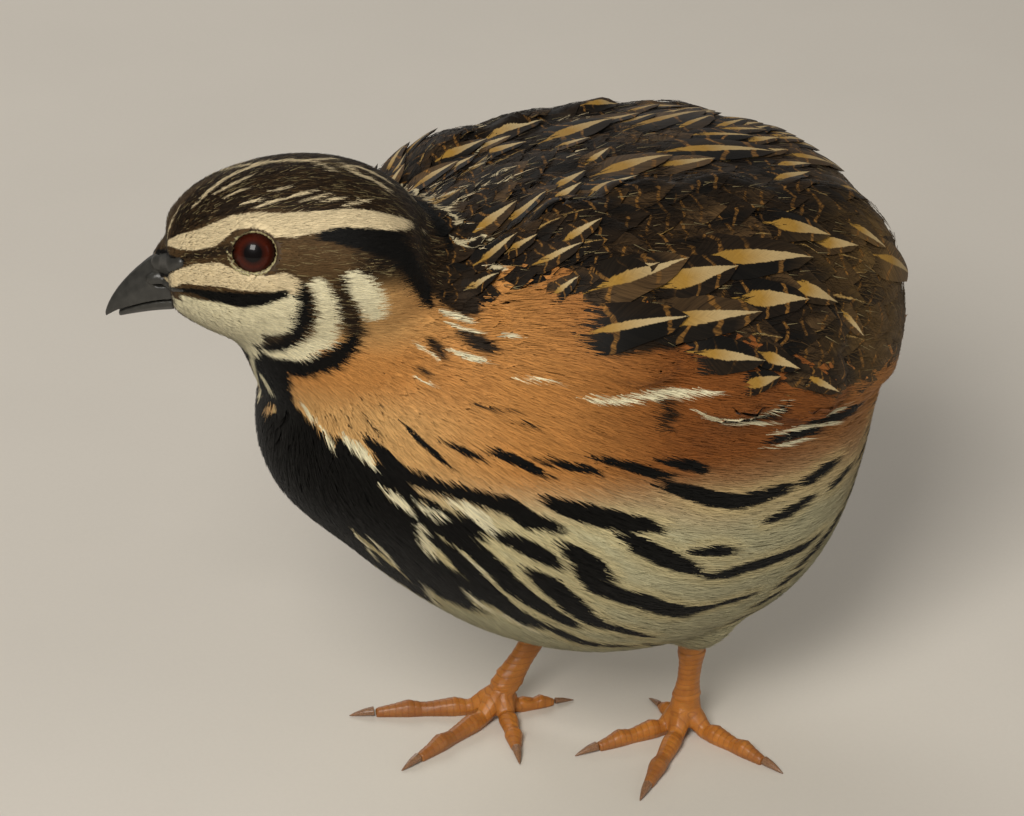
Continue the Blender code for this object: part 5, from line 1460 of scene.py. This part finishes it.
def build_tail_feathers():
    """Three layers of short feathers that hang behind the body and hide the end of the tail."""
    rng = np.random.default_rng(SEED + 8)
    spread = np.concatenate((np.linspace(-6.2, 6.2, 9), np.linspace(-5.2, 5.2, 8), np.linspace(-6, 6, 8)))
    layer = np.repeat((0, 1, 2), (9, 8, 8))
    top = np.stack((53.6 + 1.0 * layer - 0.03 * spread ** 2, spread * 0.75, 66.0 + 5 * layer), axis=1)
    low = np.stack((55.6 + 0.75 * layer - 0.05 * spread ** 2, spread * 1.15, 43.4 + 5.5 * layer), axis=1)
    low += rng.uniform(-0.5, 0.5, low.shape) * (0.2, 1, 1)
    share = np.linspace(0, 1, 9)[None, :, None]
    centre = top[:, None] + (low - top)[:, None] * share
    ups = np.stack((np.ones(len(spread)), spread * 0.05, np.full(len(spread), 0.06)), axis=1)
    ways = unit(low - top)
    ups = square_to(ways, ups)
    ups, ways = (np.repeat(values[:, None], 9, axis=1) for values in (ups, ways))
    thick_vanes("tail_feathers", (centre, ups, ways), np.full(len(spread), 2.1), np.full(len(spread), -0.3),
                np.full(len(spread), 0.1), rounded, barred_paint, back_finish(), "plumage_tail", SEED + 22,
                columns=5, ragged=0.05, thin=0.25)


# Bill, eyes and legs


def bill_finish(name):
    """Slate horn with greyer clouds and a fine grain."""
    f = Finish(name, 0.34, specular_ior_level=0.45)
    place = f.place()
    cloud = f.noise(place, 0.8, 3.0)
    grain = f.noise(place, 5.0, 3.0)
    clouded = cloud.below(0.5, 0.5)
    grey = f.scaled(linear((56, 55, 51)), 0.8 + grain * 0.4)
    colour = f.blend(clouded, grey, palette("horn"))
    f.bump(grain * 0.6 + cloud * 0.4, 0.05, 0.5)
    return f.done(colour, 0.28 + grain * 0.16)


def horn_over(line, lift):
    """Rounded horn that stands a little out of the face along a line given in the head's frame."""
    parts = []
    for _, sign in SIDES:
        chain = []
        for f, side, u, radius in line:
            place, normal, _, _ = FORM["tree"].find_nearest(Vector(in_head((f, sign * side, u))))
            chain.append((*(place - normal * (radius - lift)), radius))
        chain = np.array(chain)
        for step in np.linspace(0, len(line) - 1, 10 * len(line) - 9):
            x, y, z, radius = (np.interp(step, range(len(line)), chain[:, k]) for k in range(4))
            parts.append(ball_at((x, y, z), radius, 3))
    return parts


def build_bill():
    material = bill_finish("bill horn")
    nostril = ((19, 2.6, -0.4, 1.6), (17.4, 3.9, 0.2, 2.1), (15.6, 5.4, 0.9, 1.9), (13.6, 6.9, 1.7, 1))
    gape = ((18.4, 3.6, -3.7, 0.6), (16.6, 5.2, -3.3, 0.55), (15.2, 6.4, -2.9, 0.45),
            (13.6, 7.4, -2.6, 0.25))
    for node in ("bill_upper", "bill_lower"):
        parts = [node_copy(node)]
        if node == "bill_upper":
            parts += horn_over(nostril, 0.4) + horn_over(gape, 0.3)
        bm = remade(joined(parts), 0.17, 9)
        made = piece(f"{node}_horn", bm, material)
        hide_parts(node)


def eye_axes(sign):
    """Matrix from an eye's own frame, whose z looks out of the head, to the bird's frame."""
    out = Vector(in_head(on_side(EYE_AIM, sign)) - HEAD_CENTRE).normalized()
    up = Vector(HEAD[2])
    right = up.cross(out).normalized()
    up = out.cross(right)
    turn = Matrix((right, up, out)).transposed().to_4x4()
    return Matrix.Translation(Vector(in_head(on_side(EYE_PLACE, sign)))) @ turn


def eye_finish(name, matrix):
    """A dark red-brown iris round a black pupil under a clear wet surface."""
    f = Finish(name, 0.35, coat_weight=0.8, coat_roughness=0.02, coat_ior=1.24, specular_ior_level=0.05)
    whole = TO_WORLD @ matrix
    turn = whole.to_quaternion().to_euler()
    coordinates = f.node("ShaderNodeTexCoord").outputs["Object"]
    settings = {"vector_type": "TEXTURE"}
    inputs = {1: whole.translation, 2: turn, 3: (MM, MM, MM)}
    own = f.node("ShaderNodeMapping", settings, {0: coordinates, **inputs}).outputs[0]
    x, y, _ = f.parts(own)
    out = (x * x + y * y) ** 0.5
    angle = f.value("ShaderNodeMath", {"operation": "ARCTAN2"}, {0: y, 1: x})
    spokes = f.noise(f.vector(angle * 5, out * 0.6, 0), 2.0, 3.0)
    dark = (0.003, 0.002, 0.002)
    red = ((0.41, (34, 12, 7)), (0.6, (62, 20, 8)), (0.8, (44, 14, 7)), (0.93, (14, 7, 5)))
    stops = ((0, dark), (0.36, dark), *((at, linear(rgb)) for at, rgb in red), (1, dark))
    ramp = f.node("ShaderNodeValToRGB", {"stops": stops}, {0: out / 3.5})
    colour = f.scaled(ramp.outputs[0], 0.7 + spokes * 0.6)
    return f.done(colour)


def lid_finish(name):
    """Bare rim of the lids, pale olive with fine folds."""
    f = Finish(name, 0.5)
    fold = f.noise(f.place(), 3.2, 3.0)
    colour = f.blend(fold.below(0.5, 0.2), linear((176, 168, 122)), linear((104, 88, 60)))
    f.bump(fold, 0.08, 0.6)
    return f.done(colour)


def build_eyes():
    lid = lid_finish("eye rim")
    for side, sign in SIDES:
        matrix = eye_axes(sign)
        bm = bmesh.new()
        ball = matrix @ Matrix.Translation((0, 0, EYE_RADIUS - BALL_RADIUS))
        bmesh.ops.create_uvsphere(bm, u_segments=64, v_segments=40, radius=BALL_RADIUS, matrix=ball)
        ball = piece(f"eyeball_{side}", bm, eye_finish(f"iris {side}", matrix))
        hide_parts(f"eye_{side}")
        bm = bmesh.new()
        level = math.sqrt(BALL_RADIUS ** 2 - EYE_OPENING ** 2) + EYE_RADIUS - BALL_RADIUS
        profile = []
        for turn in np.arange(12) * math.tau / 12:
            out = EYE_OPENING + 0.2 + 0.4 * math.cos(turn)
            profile.append(bm.verts.new((out, 0, level + 0.16 + 0.46 * math.sin(turn))))
        edges = [bm.edges.new(ends) for ends in zip(profile, profile[1:] + profile[:1])]
        around = {"cent": (0, 0, 0), "axis": (0, 0, 1), "angle": math.tau, "steps": 72, "use_merge": True}
        bmesh.ops.spin(bm, geom=profile + edges, **around)
        bmesh.ops.recalc_face_normals(bm, faces=bm.faces)
        for vert in bm.verts:
            turn = math.atan2(vert.co.y, vert.co.x)
            wave = 1 + 0.02 * math.sin(turn * 23) + 0.015 * math.sin(turn * 37 + 1)
            vert.co.x *= wave * (1.04 + 0.02 * math.cos(2 * turn))
            vert.co.y *= wave * (0.95 + 0.02 * math.cos(2 * turn))
        bmesh.ops.transform(bm, matrix=matrix, verts=bm.verts)
        piece(f"eye_rim_{side}", bm, lid)


def leg_finish(name):
    """Orange skin of small plates, with darker grooves between them and duller toes."""
    f = Finish(name, 0.42, subsurface_weight=0.12, subsurface_scale=0.001)
    place = f.place()
    along = f.number("Along")
    cloud = f.noise(place, 0.35, 2.0)
    grain = f.noise(place, 3.5, 3.0)
    edge = (along * (1 / SCUTE)).fraction()
    groove = abs(edge - 0.5).combine("GREATER_THAN", abs(edge - 0.5), 0.42)
    toe = f.number("Toe")
    colour = f.blend(toe, palette("leg"), linear((154, 98, 46)))
    colour = f.blend(cloud.below(0.52, 0.2) * 0.5, colour, linear((140, 80, 30)))
    colour = f.blend(groove * 0.3, colour, linear((118, 66, 30)))
    colour = f.scaled(colour, 0.82 + grain * 0.3)
    f.bump(grain * 0.5 + groove * -0.6, 0.1, 0.6)
    return f.done(colour, 0.36 + grain * 0.18)


def build_legs():
    material = leg_finish("leg scutes")
    for side, _ in SIDES:
        shank = node_copy(f"shank_{side}")
        tops = np.array([v.co for v in shank.verts])
        height = tops[:, 2]
        top, foot = tops[height > height.max() - 0.9], tops[height < height.min() + 0.9]
        axis = unit(top.mean(axis=0) - foot.mean(axis=0))
        rim = tops[tops @ axis > (tops @ axis).max() - 0.8]
        upper = rim.mean(axis=0)
        radius = np.linalg.norm(np.cross(rim - upper, axis), axis=1).mean()
        stump = bmesh.new()
        turn = Vector(axis).to_track_quat("Z", "Y").to_matrix().to_4x4()
        there = Matrix.Translation(Vector(upper + axis * 1.8)) @ turn
        widths = {"radius1": radius, "radius2": radius * 1.04}
        bmesh.ops.create_cone(stump, cap_ends=True, segments=28, depth=5.6, matrix=there, **widths)
        bm = joined([node_copy(f"foot_{side}"), shank, stump])
        for vert in bm.verts:
            vert.co += vert.normal * 0.16
        bm = largest(remade(bm, 0.22, 4))
        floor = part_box(f"foot_{side}")[0][2] / MM - SHIFT[2]
        low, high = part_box(f"shank_{side}")
        ankle = np.array((low + high) / 2) / MM - SHIFT
        points = np.array([v.co for v in bm.verts])
        flat = np.linalg.norm(points[:, :2] - ankle[:2], axis=1)
        height = points[:, 2] - floor
        on_toe = smooth(6.5, 4.0, height)
        along = flat * on_toe + (height + 3) * (1 - on_toe)
        bm.normal_update()
        for vert, where, share in zip(bm.verts, along, on_toe):
            wave = (where / SCUTE) % 1
            top = max(vert.normal.z, 0) if share > 0.5 else 1
            vert.co += vert.normal * (0.08 * math.sin(math.pi * wave) ** 0.6 - 0.04) * top
            vert.co.z = max(vert.co.z, 0.01 - SHIFT[2])
        made = piece(f"leg_{side}", bm, material)
        written(made.data, "Along", along)
        written(made.data, "Toe", smooth(9, 17, flat) * on_toe)
        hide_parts(f"foot_{side}", f"shank_{side}")


def claw_finish(name):
    """Pale horn, clouded with a darker brown."""
    f = Finish(name, 0.35, subsurface_weight=0.1, subsurface_scale=0.0006)
    grain = f.noise(f.place(), 4.0, 2.0)
    colour = f.blend(grain.below(0.5, 0.3), palette("claw"), linear((104, 72, 48)))
    f.bump(grain, 0.03, 0.4)
    return f.done(colour)


def build_claws():
    material = claw_finish("claw horn")
    for side, _ in SIDES:
        for toe in ("inner", "middle", "outer", "hind"):
            node = f"claw_{side}_{toe}"
            bm = remade(node_copy(node), 0.11, 3)
            made = piece(f"{node}_horn", bm, material)
            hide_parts(node)


# Stage


def floor_finish(name):
    f = Finish(name, 0.75)
    cloud = f.noise(f.place(), 0.02, 3.0)
    grain = f.noise(f.place(), 1.5, 3.0)
    return f.done(f.scaled(linear((214, 208, 198)), 0.92 + cloud * 0.08 + grain * 0.04))


def build_stage():
    bm = bmesh.new()
    bmesh.ops.create_grid(bm, x_segments=8, y_segments=8, size=3.0)
    mesh = bpy.data.meshes.new("floor")
    bm.to_mesh(mesh)
    bm.free()
    mesh.materials.append(floor_finish("pale floor"))
    floor = placed("floor", mesh)
    world = bpy.data.worlds.new("studio")
    bpy.context.scene.world = world
    world.use_nodes = True
    sky = world.node_tree.nodes["Background"]
    sky.inputs[0].default_value = (1.0, 0.97, 0.93, 1)
    sky.inputs[1].default_value = 0.17
    bpy.context.scene.view_settings.view_transform = "Standard"
    centre = Vector((0, 0, 0.06))
    lamps = {"key": ((-0.62, -0.5, 0.72), 0.35, 9.2), "fill": ((0.6, -0.8, 0.4), 0.7, 1.2)}
    lamps["rim"] = ((0.2, 0.8, 0.6), 0.5, 2.5)
    for name, (place, size, power) in lamps.items():
        light = bpy.data.lights.new(name, "AREA")
        light.size = size
        light.energy = power
        light.color = (1.0, 0.965, 0.91)
        lamp = placed(name, light)
        lamp.location = place
        lamp.rotation_euler = (centre - Vector(place)).to_track_quat("-Z", "Y").to_euler()
    camera = bpy.data.cameras.new("camera")
    camera.sensor_width, camera.lens = 36, LENS
    eye = placed("camera", camera)
    turn, tilt = math.radians(CAMERA_TURN), math.radians(CAMERA_TILT)
    right = Vector((math.cos(turn), math.sin(turn), 0))
    back = Vector((math.sin(turn) * math.cos(tilt), -math.cos(turn) * math.cos(tilt), math.sin(tilt)))
    up = back.cross(right)
    matrix = Matrix((right, up, back)).transposed().to_4x4()
    matrix.translation = TO_WORLD @ (Vector(CAMERA_AIM) + back * CAMERA_AWAY)
    eye.matrix_world = matrix
    bpy.context.scene.camera = eye


# Operators


class MakeSkin(Operator):
    """Shape the bird's skin, one surface inside the coat"""

    bl_idname = "quail.make_skin"
    bl_label = "Skin"

    def execute(self, context):
        build_form()
        build_skin()
        return {"FINISHED"}


class MakeHeadFeathers(Operator):
    """Cover the head with its smallest feathers"""

    bl_idname = "quail.make_head_feathers"
    bl_label = "Head feathers"

    def execute(self, context):
        build_head_feathers()
        return {"FINISHED"}


class MakeBodyFeathers(Operator):
    """Cover breast, flanks and belly, and lay loose barbs over the whole coat"""

    bl_idname = "quail.make_body_feathers"
    bl_label = "Body feathers"

    def execute(self, context):
        build_body_feathers()
        build_loose_barbs()
        return {"FINISHED"}


class MakeBackFeathers(Operator):
    """Lay the barred and streaked feathers of back, wings and tail"""

    bl_idname = "quail.make_back_feathers"
    bl_label = "Back and wing feathers"

    def execute(self, context):
        build_back_feathers()
        build_streaked_feathers()
        build_tail_feathers()
        return {"FINISHED"}


class MakeBill(Operator):
    """Make the two halves of the bill"""

    bl_idname = "quail.make_bill"
    bl_label = "Bill"

    def execute(self, context):
        build_bill()
        return {"FINISHED"}


class MakeEyes(Operator):
    """Make the eyes and the rims of their lids"""

    bl_idname = "quail.make_eyes"
    bl_label = "Eyes"

    def execute(self, context):
        build_eyes()
        return {"FINISHED"}


class MakeLegs(Operator):
    """Make the scaled legs and the claws"""

    bl_idname = "quail.make_legs"
    bl_label = "Legs and claws"

    def execute(self, context):
        build_legs()
        build_claws()
        return {"FINISHED"}


class MakeStage(Operator):
    """Set the floor, the lights and the camera"""

    bl_idname = "quail.make_stage"
    bl_label = "Stage"

    def execute(self, context):
        build_stage()
        return {"FINISHED"}


MAKERS = (
    MakeSkin, MakeHeadFeathers, MakeBodyFeathers, MakeBackFeathers, MakeBill, MakeEyes, MakeLegs, MakeStage,
)


class QuailPanel(Panel):
    """The bird's pieces in the order they are made"""

    bl_idname = "VIEW3D_PT_quail"
    bl_label = "Quail"
    bl_space_type = "VIEW_3D"
    bl_region_type = "UI"
    bl_category = "Quail"

    def draw(self, context):
        for maker in MAKERS:
            self.layout.operator(maker.bl_idname)
        for group in (context.scene.quail_coat, context.scene.quail_colours):
            for name in group.__annotations__:
                self.layout.prop(group, name)


def register():
    for kind in (QuailColours, QuailCoat, *MAKERS, QuailPanel):
        bpy.utils.register_class(kind)
    bpy.types.Scene.quail_colours = PointerProperty(type=QuailColours)
    bpy.types.Scene.quail_coat = PointerProperty(type=QuailCoat)


def unregister():
    del bpy.types.Scene.quail_coat
    del bpy.types.Scene.quail_colours
    for kind in (QuailPanel, *reversed(MAKERS), QuailCoat, QuailColours):
        bpy.utils.unregister_class(kind)


def main():
    register()
    bpy.ops.quail.make_skin()
    bpy.ops.quail.make_head_feathers()
    bpy.ops.quail.make_body_feathers()
    bpy.ops.quail.make_back_feathers()
    bpy.ops.quail.make_bill()
    bpy.ops.quail.make_eyes()
    bpy.ops.quail.make_legs()
    bpy.ops.quail.make_stage()


if __name__ == "__main__":
    main()
